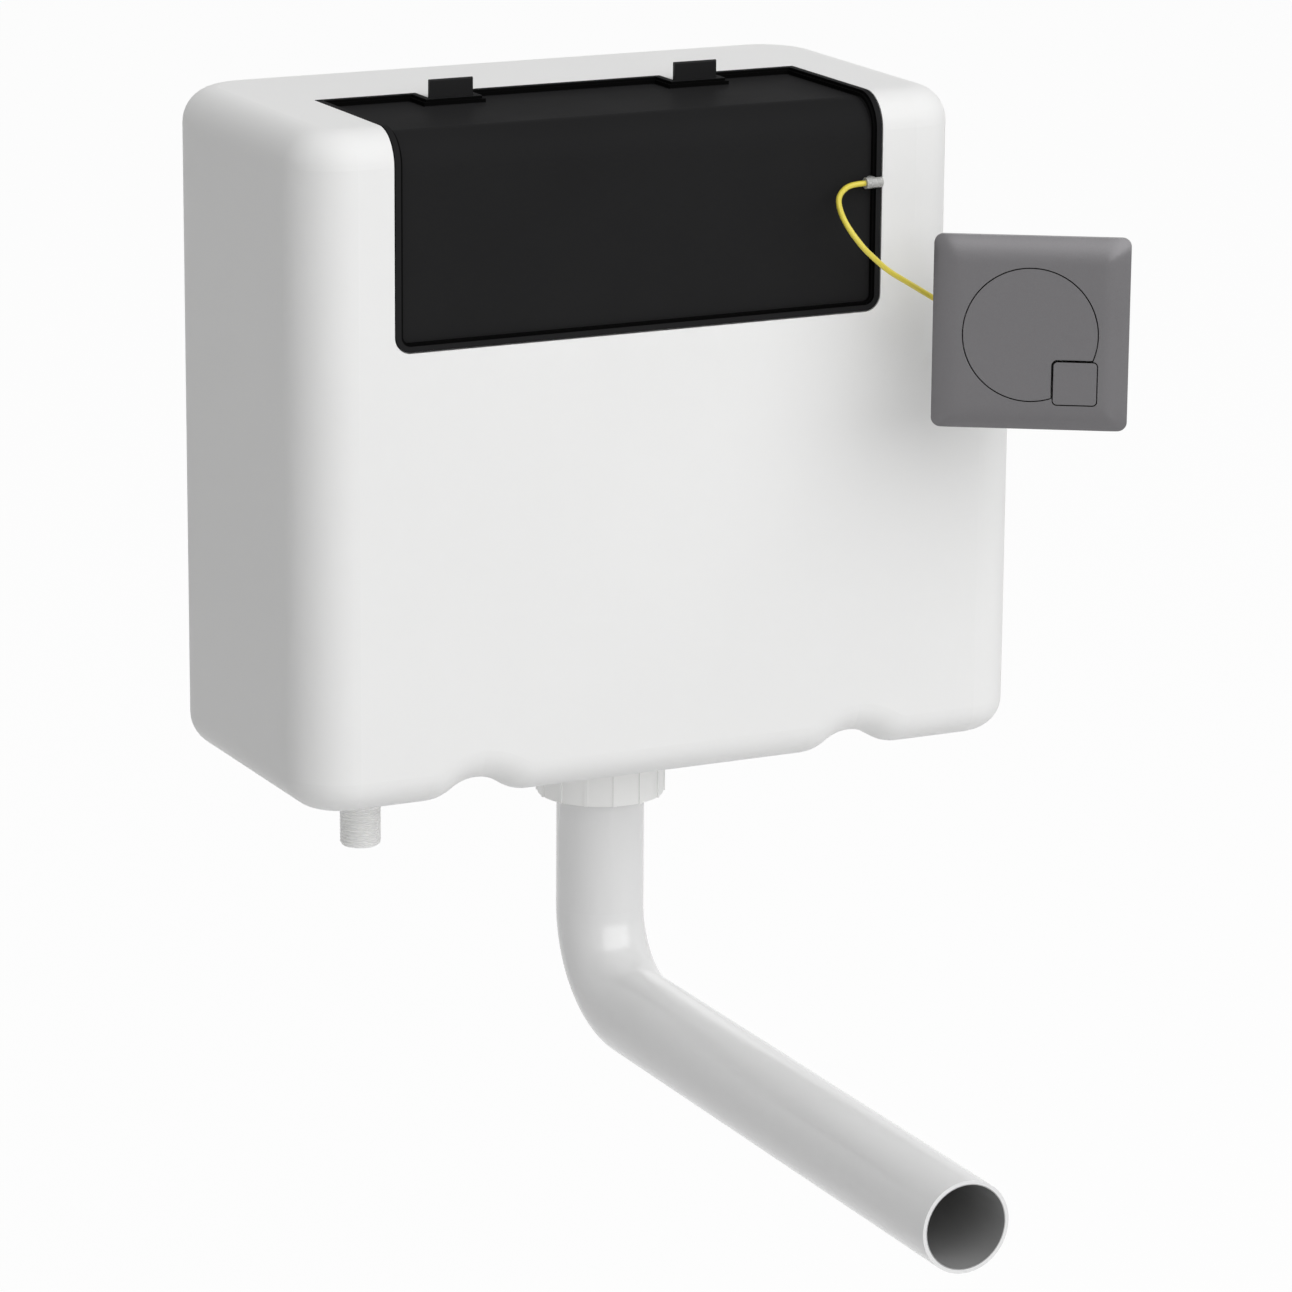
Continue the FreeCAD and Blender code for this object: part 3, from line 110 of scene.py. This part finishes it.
def smooth_tube(name, points, diameter, fineness):
    """Mesh tube round the smooth line that the points steer, and that line's own points."""
    curve = bpy.data.curves.new(name + "_line", "CURVE")
    curve.dimensions = "3D"
    curve.resolution_u = fineness
    spline = curve.splines.new("NURBS")
    spline.points.add(len(points) - 1)
    for point, place in zip(spline.points, points):
        point.co = (*place, 1.0)
    spline.order_u = 3
    spline.use_endpoint_u = True
    holder = bpy.data.objects.new(name + "_line", curve)
    line_mesh = bpy.data.meshes.new_from_object(holder)
    line = [tuple(vertex.co) for vertex in line_mesh.vertices]
    curve.bevel_depth = diameter / 2
    curve.bevel_resolution = TUBE_ROUNDNESS
    curve.use_fill_caps = True
    mesh = bpy.data.meshes.new_from_object(holder)
    mesh.name = name
    mesh.shade_smooth()
    bpy.data.objects.remove(holder)
    bpy.data.curves.remove(curve)
    bpy.data.meshes.remove(line_mesh)
    tube = bpy.data.objects.new(name, mesh)
    bpy.context.scene.collection.objects.link(tube)
    return tube, line


# Cables: the same points as the part's source, in metres
CABLE_DIAMETER = 2.9 * MM
ELBOW_MOUTH = (0.1030, -0.1866, 0.0210)
GLAND_END = (0.14409, -0.21430, -0.0384)
OUTER_CABLE = [
    ELBOW_MOUTH,
    (0.0962, -0.1866, 0.0210),
    (0.0896, -0.1890, 0.0195),
    (0.0826, -0.1953, 0.0155),
    (0.0802, -0.2073, 0.0068),
    (0.0876, -0.2125, -0.0053),
    (0.0953, -0.2112, -0.0120),
    (0.1040, -0.2106, -0.0194),
    (0.1146, -0.2096, -0.0256),
    (0.1262, -0.2054, -0.0322),
    (0.1355, -0.2089, -0.0384),
    GLAND_END,
]
ELBOW_INSIDE = (0.1082, -0.1706, 0.0210)
INNER_CABLE = [
    ELBOW_INSIDE,
    (0.1082, -0.1460, 0.0210),
    (0.1060, -0.1220, 0.0000),
    (0.1040, -0.1070, -0.0380),
    (0.1030, -0.1000, -0.0800),
    (0.1010, -0.1000, -0.1220),
    (0.1030, -0.1000, -0.1630),
    (0.0830, -0.1000, -0.1746),
    (0.0630, -0.1000, -0.1630),
    (0.0630, -0.1000, -0.1410),
]


def make_cable(name, points, node):
    """Yellow sleeve along the points, attached to the cistern in place of the part's own cable."""
    cable, line = smooth_tube(name, points, CABLE_DIAMETER, CABLE_FINENESS)
    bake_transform(cable)
    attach(cable, "cistern")
    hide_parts(node)
    return cable


outer = make_cable("operating_cable_sleeve", OUTER_CABLE,
                   "operating_cable")
inner = make_cable("inner_cable_sleeve", INNER_CABLE,
                   "inner_cable")


# Materials
NOISE_LOW, NOISE_HIGH = 0.3, 0.7
SHELL_SCATTER = (0.004, 0.004, 0.0038)
FERRULE_SCATTER = (0.001, 0.001, 0.001)


def new_material(name):
    material = bpy.data.materials.new(name)
    material.use_nodes = True
    tree = material.node_tree
    return material, tree, tree.nodes["Principled BSDF"]


def object_noise(tree, scale, detail=3.0, roughness=0.5, stretch=(1, 1, 1)):
    """Noise that is fixed to the object's own place in metres."""
    place = tree.nodes.new("ShaderNodeTexCoord")
    mapping = tree.nodes.new("ShaderNodeMapping")
    mapping.inputs["Scale"].default_value = stretch
    noise = tree.nodes.new("ShaderNodeTexNoise")
    noise.inputs["Scale"].default_value = scale
    noise.inputs["Detail"].default_value = detail
    noise.inputs["Roughness"].default_value = roughness
    tree.links.new(place.outputs["Object"], mapping.inputs["Vector"])
    tree.links.new(mapping.outputs["Vector"], noise.inputs["Vector"])
    return noise.outputs["Fac"]


def ramp(tree, source, low, high, start=NOISE_LOW, end=NOISE_HIGH):
    """The source's values from start to end, spread from low to high."""
    node = tree.nodes.new("ShaderNodeMapRange")
    node.inputs["From Min"].default_value = start
    node.inputs["From Max"].default_value = end
    node.inputs["To Min"].default_value = low
    node.inputs["To Max"].default_value = high
    tree.links.new(source, node.inputs["Value"])
    return node.outputs["Result"]


def blend_colour(tree, factor, colours):
    one, two = colours
    node = tree.nodes.new("ShaderNodeMix")
    node.data_type = "RGBA"
    node.inputs["A"].default_value = (*one, 1)
    node.inputs["B"].default_value = (*two, 1)
    tree.links.new(factor, node.inputs["Factor"])
    return node.outputs["Result"]


def add_bump(tree, shader, height, distance, before=None):
    bump = tree.nodes.new("ShaderNodeBump")
    bump.inputs["Strength"].default_value = 1.0
    bump.inputs["Distance"].default_value = distance
    tree.links.new(height, bump.inputs["Height"])
    if before is not None:
        tree.links.new(before, bump.inputs["Normal"])
    tree.links.new(bump.outputs["Normal"], shader.inputs["Normal"])
    return bump.outputs["Normal"]


def plastic(name, colours, rough, grain, clouds=(18.0, 0.0), subsurface=0.0, specular=0.5):
    """Moulded plastic with slight colour clouds, uneven gloss and a fine grain.

    Grain and clouds are each the noise's scale and the bump's depth in metres.
    """
    material, tree, shader = new_material(name)
    cloud_scale, cloud_depth = clouds
    grain_scale, grain_depth = grain
    cloud = object_noise(tree, cloud_scale, 2.0)
    fine = object_noise(tree, grain_scale, 4.0, 0.6)
    tree.links.new(blend_colour(tree, cloud, colours), shader.inputs["Base Color"])
    tree.links.new(ramp(tree, cloud, *rough), shader.inputs["Roughness"])
    shader.inputs["Specular IOR Level"].default_value = specular
    if subsurface:
        shader.inputs["Subsurface Weight"].default_value = subsurface
        shader.inputs["Subsurface Radius"].default_value = SHELL_SCATTER
        shader.inputs["Subsurface Scale"].default_value = 1.0
    before = add_bump(tree, shader, cloud, cloud_depth) if cloud_depth else None
    add_bump(tree, shader, fine, grain_depth, before)
    return material


def satin_metal_paint(name, colours, rough, metallic):
    """Lacquer with a fine metallic fleck."""
    material, tree, shader = new_material(name)
    fleck = object_noise(tree, 5200.0, 2.0, 0.7)
    clouds = object_noise(tree, 30.0, 2.0)
    flecks = ramp(tree, fleck, 0.0, 1.0, 0.35, 0.65)
    tree.links.new(blend_colour(tree, flecks, colours), shader.inputs["Base Color"])
    shader.inputs["Metallic"].default_value = metallic
    tree.links.new(ramp(tree, clouds, *rough), shader.inputs["Roughness"])
    add_bump(tree, shader, fleck, 0.000004)
    return material


def drawn_steel(name, colours, rough):
    """Bare steel with fine lines along Z."""
    material, tree, shader = new_material(name)
    lines = object_noise(tree, 900.0, 3.0, 0.6, (1.0, 1.0, 0.06))
    tree.links.new(blend_colour(tree, lines, colours), shader.inputs["Base Color"])
    shader.inputs["Metallic"].default_value = 1.0
    tree.links.new(ramp(tree, lines, *rough), shader.inputs["Roughness"])
    add_bump(tree, shader, lines, 0.00001)
    return material


def milky_plastic(name, colours, rough):
    """Slightly see-through ferrule plastic."""
    material, tree, shader = new_material(name)
    clouds = object_noise(tree, 400.0, 3.0)
    tree.links.new(blend_colour(tree, clouds, colours), shader.inputs["Base Color"])
    tree.links.new(ramp(tree, clouds, *rough), shader.inputs["Roughness"])
    shader.inputs["Transmission Weight"].default_value = 0.25
    shader.inputs["Subsurface Weight"].default_value = 0.2
    shader.inputs["Subsurface Radius"].default_value = FERRULE_SCATTER
    add_bump(tree, shader, clouds, 0.00002)
    return material


# Painted shade: darker places in a material, by where they are on the object, standing in for shade in
# hollows, steps and gaps
def calculate(tree, operation, *values):
    """Math node on sockets and plain numbers."""
    node = tree.nodes.new("ShaderNodeMath")
    node.operation = operation
    for socket, value in zip(node.inputs, values):
        if isinstance(value, bpy.types.NodeSocket):
            tree.links.new(value, socket)
        else:
            socket.default_value = value
    return node.outputs[0]


def object_axes(tree, at=(0, 0, 0), turn=0.0):
    """The surface point's X, Y and Z in the object's own metres, from a turned origin."""
    place = tree.nodes.new("ShaderNodeTexCoord")
    mapping = tree.nodes.new("ShaderNodeMapping")
    mapping.vector_type = "TEXTURE"
    mapping.inputs["Location"].default_value = at
    mapping.inputs["Rotation"].default_value = (0, 0, turn)
    split = tree.nodes.new("ShaderNodeSeparateXYZ")
    tree.links.new(place.outputs["Object"], mapping.inputs["Vector"])
    tree.links.new(mapping.outputs["Vector"], split.inputs["Vector"])
    return split.outputs


def paint(material, one, two, grey):
    """A plain grey in place of the colour where both masks are 1."""
    tree = material.node_tree
    colour = tree.nodes["Principled BSDF"].inputs["Base Color"]
    mix = tree.nodes.new("ShaderNodeMix")
    mix.data_type = "RGBA"
    mix.inputs["B"].default_value = (grey, grey, grey, 1)
    tree.links.new(calculate(tree, "MULTIPLY", one, two), mix.inputs["Factor"])
    tree.links.new(colour.links[0].from_socket, mix.inputs["A"])
    tree.links.new(mix.outputs["Result"], colour)


def paint_pipe_inside_shade(material, at, radius, front, grey):
    """Painted shade: a darker inside of a pipe that runs along Y, in front of a given place."""
    tree = material.node_tree
    axes = object_axes(tree)
    squares = []
    for axis, middle in zip(("X", "Z"), at):
        offset = calculate(tree, "SUBTRACT", axes[axis], middle)
        squares.append(calculate(tree, "MULTIPLY", offset, offset))
    within = calculate(tree, "LESS_THAN", calculate(tree, "ADD", *squares), radius ** 2)
    ahead = calculate(tree, "LESS_THAN", axes["Y"], front)
    paint(material, within, ahead, grey)


def paint_rim_step_shade(material, near, far, grey):
    """Painted shade: a darker band between two depths below the tank's front and top, also round their shared
    edge, where the rim's step lies in its own shade.

    A point's depth is SKIN_EDGE_R less its distance from the line that the edge curves round.
    """
    tree = material.node_tree
    axes = object_axes(tree)
    squares = []
    for axis, sign, face in (("Y", -1, SKIN_FRONT), ("Z", 1, SKIN_TOP)):
        reach = calculate(tree, "MULTIPLY_ADD", axes[axis], sign, SKIN_EDGE_R - sign * face)
        outward = calculate(tree, "MAXIMUM", reach, 0.0)
        squares.append(calculate(tree, "MULTIPLY", outward, outward))
    square = calculate(tree, "ADD", *squares)
    below = calculate(tree, "LESS_THAN", square, (SKIN_EDGE_R - near) ** 2)
    above = calculate(tree, "GREATER_THAN", square, (SKIN_EDGE_R - far) ** 2)
    paint(material, below, above, grey)


def paint_gap_shade(material, grey):
    """Painted shade: near-black sides of the gaps round the buttons."""
    tree = material.node_tree
    axes = object_axes(tree, PLATE_AT, PLATE_TURN)
    sides = [calculate(tree, "ABSOLUTE", axes[axis]) for axis in ("X", "Z")]
    near = calculate(tree, "LESS_THAN", calculate(tree, "MAXIMUM", *sides), BUTTON_FIELD)
    behind = calculate(tree, "GREATER_THAN", axes["Y"], GAP_DEPTH)
    paint(material, near, behind, grey)


PLATE_AT = Vector((0.1513, -0.2707, -0.0444))
PLATE_TURN = math.radians(-32.0)
BUTTON_FIELD = 35.6 * MM
GAP_DEPTH = 0.2 * MM
GAP_SHADE_GREY = 0.004
PIPE_AXIS = (0.0, -0.4122)
PIPE_INNER_R = 21.0 * MM
PIPE_STRAIGHT = -0.20
PIPE_INSIDE_SHADE_GREY = 0.35
SKIN_FRONT, SKIN_TOP, SKIN_EDGE_R = -0.186, 0.065, 18.0 * MM
RIM_STEP = (0.3 * MM, 3.3 * MM)
RIM_SHADE_GREY = 0.004

TANK_WHITE = plastic(
    "tank_polyethylene", ((0.845, 0.845, 0.84), (0.865, 0.865, 0.86)), rough=(0.44, 0.52),
    grain=(1400.0, 0.000012), clouds=(9.0, 0.0004), subsurface=0.05, specular=0.12)
COVER_BLACK = plastic(
    "cover_black_grain", ((0.0170, 0.0170, 0.0175), (0.0200, 0.0200, 0.0205)), rough=(0.40, 0.48),
    grain=(2600.0, 0.000012), clouds=(20.0, 0.0), specular=0.001)
CLIP_BLACK = plastic(
    "clip_black", ((0.009, 0.009, 0.0095), (0.012, 0.012, 0.0125)), rough=(0.36, 0.46),
    grain=(2200.0, 0.00001), specular=0.12)
WHITE_FITTING = plastic(
    "fitting_white", ((0.90, 0.90, 0.89), (0.93, 0.93, 0.92)), rough=(0.34, 0.44),
    grain=(1800.0, 0.00001))
PIPE_WHITE = plastic(
    "pipe_white", ((0.76, 0.76, 0.76), (0.79, 0.79, 0.79)), rough=(0.17, 0.22),
    grain=(900.0, 0.000006), clouds=(14.0, 0.0003), specular=0.8)
INLET_WHITE = plastic(
    "inlet_white", ((0.93, 0.93, 0.92), (0.95, 0.95, 0.94)), rough=(0.40, 0.50),
    grain=(1800.0, 0.00001), subsurface=0.3)
GREY_FITTING = plastic(
    "fitting_grey", ((0.40, 0.42, 0.45), (0.46, 0.48, 0.51)), rough=(0.36, 0.48),
    grain=(1800.0, 0.00001))
SLIP_WASHER = plastic(
    "slip_washer", ((0.62, 0.62, 0.60), (0.70, 0.70, 0.68)), rough=(0.24, 0.34),
    grain=(1800.0, 0.000008))
RUBBER = plastic(
    "black_rubber", ((0.022, 0.022, 0.022), (0.032, 0.032, 0.032)), rough=(0.62, 0.78),
    grain=(1500.0, 0.00003))
YELLOW = plastic(
    "yellow_sleeve", ((0.72, 0.60, 0.065), (0.80, 0.68, 0.085)), rough=(0.30, 0.38),
    grain=(2400.0, 0.000006), clouds=(60.0, 0.0))
GUNMETAL = satin_metal_paint(
    "gunmetal_lacquer", ((0.140, 0.136, 0.142), (0.180, 0.176, 0.182)), rough=(0.30, 0.35), metallic=0.55)
STEEL = drawn_steel("drawn_steel", ((0.52, 0.52, 0.53), (0.66, 0.66, 0.67)), rough=(0.24, 0.4))
MILKY = milky_plastic("milky_ferrule", ((0.50, 0.50, 0.49), (0.62, 0.62, 0.60)), rough=(0.22, 0.34))

# Painted shade: a near-black band in the cover's rim step, standing in for the shade in that step
paint_rim_step_shade(COVER_BLACK, *RIM_STEP, RIM_SHADE_GREY)
# Painted shade: a darker grey inside the pipe's bore, standing in for the shade in the bore
paint_pipe_inside_shade(PIPE_WHITE, PIPE_AXIS, PIPE_INNER_R, PIPE_STRAIGHT, PIPE_INSIDE_SHADE_GREY)
# Painted shade: near-black sides of the gaps round the plate's buttons, standing in for the shade in the gaps
paint_gap_shade(GUNMETAL, GAP_SHADE_GREY)

BY_SLOT = {
    "white_tank": TANK_WHITE,
    "black_plastic": COVER_BLACK,
    "clear_grey_plastic": MILKY,
    "yellow_sleeve": YELLOW,
    "white_plastic": WHITE_FITTING,
    "pipe_plastic": PIPE_WHITE,
    "inlet_plastic": INLET_WHITE,
    "grey_plastic": GREY_FITTING,
    "black_rubber": RUBBER,
    "slip_washer": SLIP_WASHER,
    "steel": STEEL,
    "plate_metal": GUNMETAL,
}


def set_material(thing, material):
    thing.data.materials.clear()
    thing.data.materials.append(material)


for subpart in frame["record"]["subparts"]:
    set_material(NODES[subpart["node"]], BY_SLOT[subpart["material_slot"]])
for clip in ("cover_clip_left", "cover_clip_right"):
    set_material(NODES[clip], CLIP_BLACK)
for cable in (outer, inner):
    set_material(cable, YELLOW)


# Return springs, round wire with closed end turns. Centres and faces are in the plate's own axes
PLATE_AXES = Matrix.Rotation(PLATE_TURN, 3, "Z")
SPRING_SEAT = 19.7 * MM
POINTS_PER_TURN = 16


def make_spring(name, centre, face, radius, wire, open_turns, node):
    """Compression spring with a closed turn at each end, from a button's back to its seat."""
    x, z = centre
    whole = SPRING_SEAT - face
    pitch = (whole - 3 * wire) / open_turns
    points = []
    for step in range((open_turns + 2) * POINTS_PER_TURN + 1):
        turns = step / POINTS_PER_TURN
        rise = wire * min(turns, 1.0) + pitch * min(max(turns - 1.0, 0.0), open_turns)
        rise += wire * max(turns - 1.0 - open_turns, 0.0)
        angle = 2 * math.pi * turns
        across, up = radius * math.cos(angle), radius * math.sin(angle)
        points.append(PLATE_AT + PLATE_AXES @ Vector((x + across, face + wire / 2 + rise, z + up)))
    coil, _ = smooth_tube(name, points, wire, WIRE_FINENESS)
    set_material(coil, STEEL)
    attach(coil, "cistern")
    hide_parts(node)
    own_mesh(coil)


make_spring("full_spring_coil", centre=(-0.008, 0.0), face=3.3 * MM, radius=6.2 * MM, wire=1.0 * MM,
            open_turns=5, node="full_button_spring")
make_spring("half_spring_coil", centre=(0.0225, -0.024), face=13.3 * MM, radius=4.5 * MM, wire=0.5 * MM,
            open_turns=3, node="half_button_spring")

# Inlet shank with its real thread
INLET_AT = (-0.1355, -0.1000)
THREAD_R = 10.48 * MM
THREAD_DEPTH = 1.05 * MM
THREAD_PITCH = 1.814 * MM
CREST_SHARE, FLANK_SHARE = 0.12, 0.76
TAIL_LOW, TAIL_TOP = -0.316, -0.2765
CHAMFER = 1.2 * MM
BORE_R = 6.0 * MM
FLANGE_LOW, FLANGE_TOP = -0.269, -0.265
FLANGE_R, RISER_R, RISER_TOP = 18.0 * MM, 9.0 * MM, -0.039
ROUND_STEPS = 72
ROWS_PER_TURN = 14
SHARP_DEGREES = 35


def thread_radius(z, turn):
    """Rounded pipe thread between the chamfer and the smooth neck."""
    phase = ((z - TAIL_LOW) / THREAD_PITCH - turn / (2 * math.pi)) % 1.0
    wave = min(max((abs(2 * phase - 1) - CREST_SHARE) / FLANK_SHARE, 0.0), 1.0)
    fade = min(max((TAIL_TOP - 0.5 * THREAD_PITCH - z) / THREAD_PITCH, 0.0), 1.0)
    radius = THREAD_R - THREAD_DEPTH * wave * fade
    return min(radius, THREAD_R - CHAMFER + (z - TAIL_LOW))


def make_inlet_tail():
    """One closed lathe form: threaded tail, flange, riser and the bore through them."""
    count = int((TAIL_TOP - TAIL_LOW) / THREAD_PITCH * ROWS_PER_TURN)
    rows = [(TAIL_LOW, BORE_R)]
    rows += [(TAIL_LOW + (TAIL_TOP - TAIL_LOW) * step / count, None) for step in range(count + 1)]
    rows += [(FLANGE_LOW, THREAD_R), (FLANGE_LOW, FLANGE_R), (FLANGE_TOP, FLANGE_R),
             (FLANGE_TOP, RISER_R), (RISER_TOP, RISER_R), (RISER_TOP, BORE_R)]
    verts, faces = [], []
    for z, radius in rows:
        for step in range(ROUND_STEPS):
            turn = 2 * math.pi * step / ROUND_STEPS
            r = thread_radius(z, turn) if radius is None else radius
            verts.append((INLET_AT[0] + r * math.cos(turn), INLET_AT[1] + r * math.sin(turn), z))
    for row in range(len(rows)):
        after = (row + 1) % len(rows)
        for step in range(ROUND_STEPS):
            beside = (step + 1) % ROUND_STEPS
            faces.append((row * ROUND_STEPS + step, row * ROUND_STEPS + beside,
                          after * ROUND_STEPS + beside, after * ROUND_STEPS + step))
    mesh = bpy.data.meshes.new("inlet_shank_threaded")
    mesh.from_pydata(verts, [], faces)
    mesh.update()
    mesh.shade_smooth()
    mesh.set_sharp_from_angle(angle=math.radians(SHARP_DEGREES))
    tail = bpy.data.objects.new("inlet_shank_threaded", mesh)
    bpy.context.scene.collection.objects.link(tail)
    set_material(tail, INLET_WHITE)
    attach(tail, "cistern")
    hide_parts("inlet_shank")


make_inlet_tail()

# Stage and light
FLOOR_DROP = 0.30
FLOOR_Z = CAD_BOX[0][2] - FLOOR_DROP
FLOOR_SIZE = 14.0
FLOOR_BASE = (0.85, 0.85, 0.85, 1)
FLOOR_GLOW = 0.96
WHITE = (1, 1, 1, 1)
WORLD_LEVEL = 0.31
WORLD_SEEN = 0.985
AIM = (0.0, -0.1, -0.12)
PIPE_BEND, PIPE_END = (0.0, -0.1, -0.36), (0.0, -0.45, -0.40)


def seen_directly(tree):
    """1 for rays from the camera, in reflections and through glass, 0 for the rest."""
    path = tree.nodes.new("ShaderNodeLightPath")
    seen = path.outputs["Is Camera Ray"]
    for kind in ("Is Glossy Ray", "Is Transmission Ray"):
        seen = calculate(tree, "MAXIMUM", seen, path.outputs[kind])
    return seen


def make_floor():
    mesh = bpy.data.meshes.new("floor")
    half = FLOOR_SIZE / 2
    corners = [(-half, -half, FLOOR_Z), (half, -half, FLOOR_Z), (half, half, FLOOR_Z), (-half, half, FLOOR_Z)]
    mesh.from_pydata(corners, [], [(0, 1, 2, 3)])
    floor = bpy.data.objects.new("floor", mesh)
    bpy.context.scene.collection.objects.link(floor)
    material, tree, shader = new_material("floor_white")
    shader.inputs["Base Color"].default_value = FLOOR_BASE
    shader.inputs["Roughness"].default_value = 0.9
    shader.inputs["Specular IOR Level"].default_value = 0.1
    glow = tree.nodes.new("ShaderNodeEmission")
    glow.inputs["Color"].default_value = WHITE
    share = calculate(tree, "MULTIPLY", seen_directly(tree), FLOOR_GLOW)
    mix = tree.nodes.new("ShaderNodeMixShader")
    tree.links.new(share, mix.inputs["Fac"])
    tree.links.new(shader.outputs["BSDF"], mix.inputs[1])
    tree.links.new(glow.outputs["Emission"], mix.inputs[2])
    tree.links.new(mix.outputs["Shader"], tree.nodes["Material Output"].inputs["Surface"])
    floor.data.materials.append(material)


def make_world():
    world = bpy.data.worlds.new("studio")
    bpy.context.scene.world = world
    world.use_nodes = True
    tree = world.node_tree
    soft = tree.nodes["Background"]
    soft.inputs["Color"].default_value = WHITE
    soft.inputs["Strength"].default_value = WORLD_LEVEL
    white = tree.nodes.new("ShaderNodeBackground")
    white.inputs["Color"].default_value = WHITE
    white.inputs["Strength"].default_value = WORLD_SEEN
    mix = tree.nodes.new("ShaderNodeMixShader")
    tree.links.new(seen_directly(tree), mix.inputs["Fac"])
    tree.links.new(soft.outputs["Background"], mix.inputs[1])
    tree.links.new(white.outputs["Background"], mix.inputs[2])
    tree.links.new(mix.outputs["Shader"], tree.nodes["World Output"].inputs["Surface"])


def area_light(name, place, aim, size, power):
    data = bpy.data.lights.new(name, "AREA")
    data.shape = "RECTANGLE"
    data.size, data.size_y = size
    data.energy = power
    light = bpy.data.objects.new(name, data)
    light.location = place
    light.rotation_euler = (Vector(aim) - Vector(place)).to_track_quat("-Z", "Y").to_euler()
    bpy.context.scene.collection.objects.link(light)


make_floor()
make_world()
area_light("key", (0.8, -3.3, 2.4), AIM, size=(6.0, 5.0), power=160.0)
area_light("top", (-0.3, 0.2, 2.6), AIM, size=(1.6, 0.4), power=8.0)
area_light("strip", (1.7, -1.9, 0.3), AIM, size=(0.14, 2.6), power=0.5)
area_light("low_streak", (0.10, -1.35, -0.60), PIPE_BEND, size=(0.10, 0.26), power=0.15)
area_light("rear_streak", (0.85, 1.35, 0.10), PIPE_END, size=(0.2, 0.8), power=0.2)

bpy.context.scene.view_settings.view_transform = "Standard"
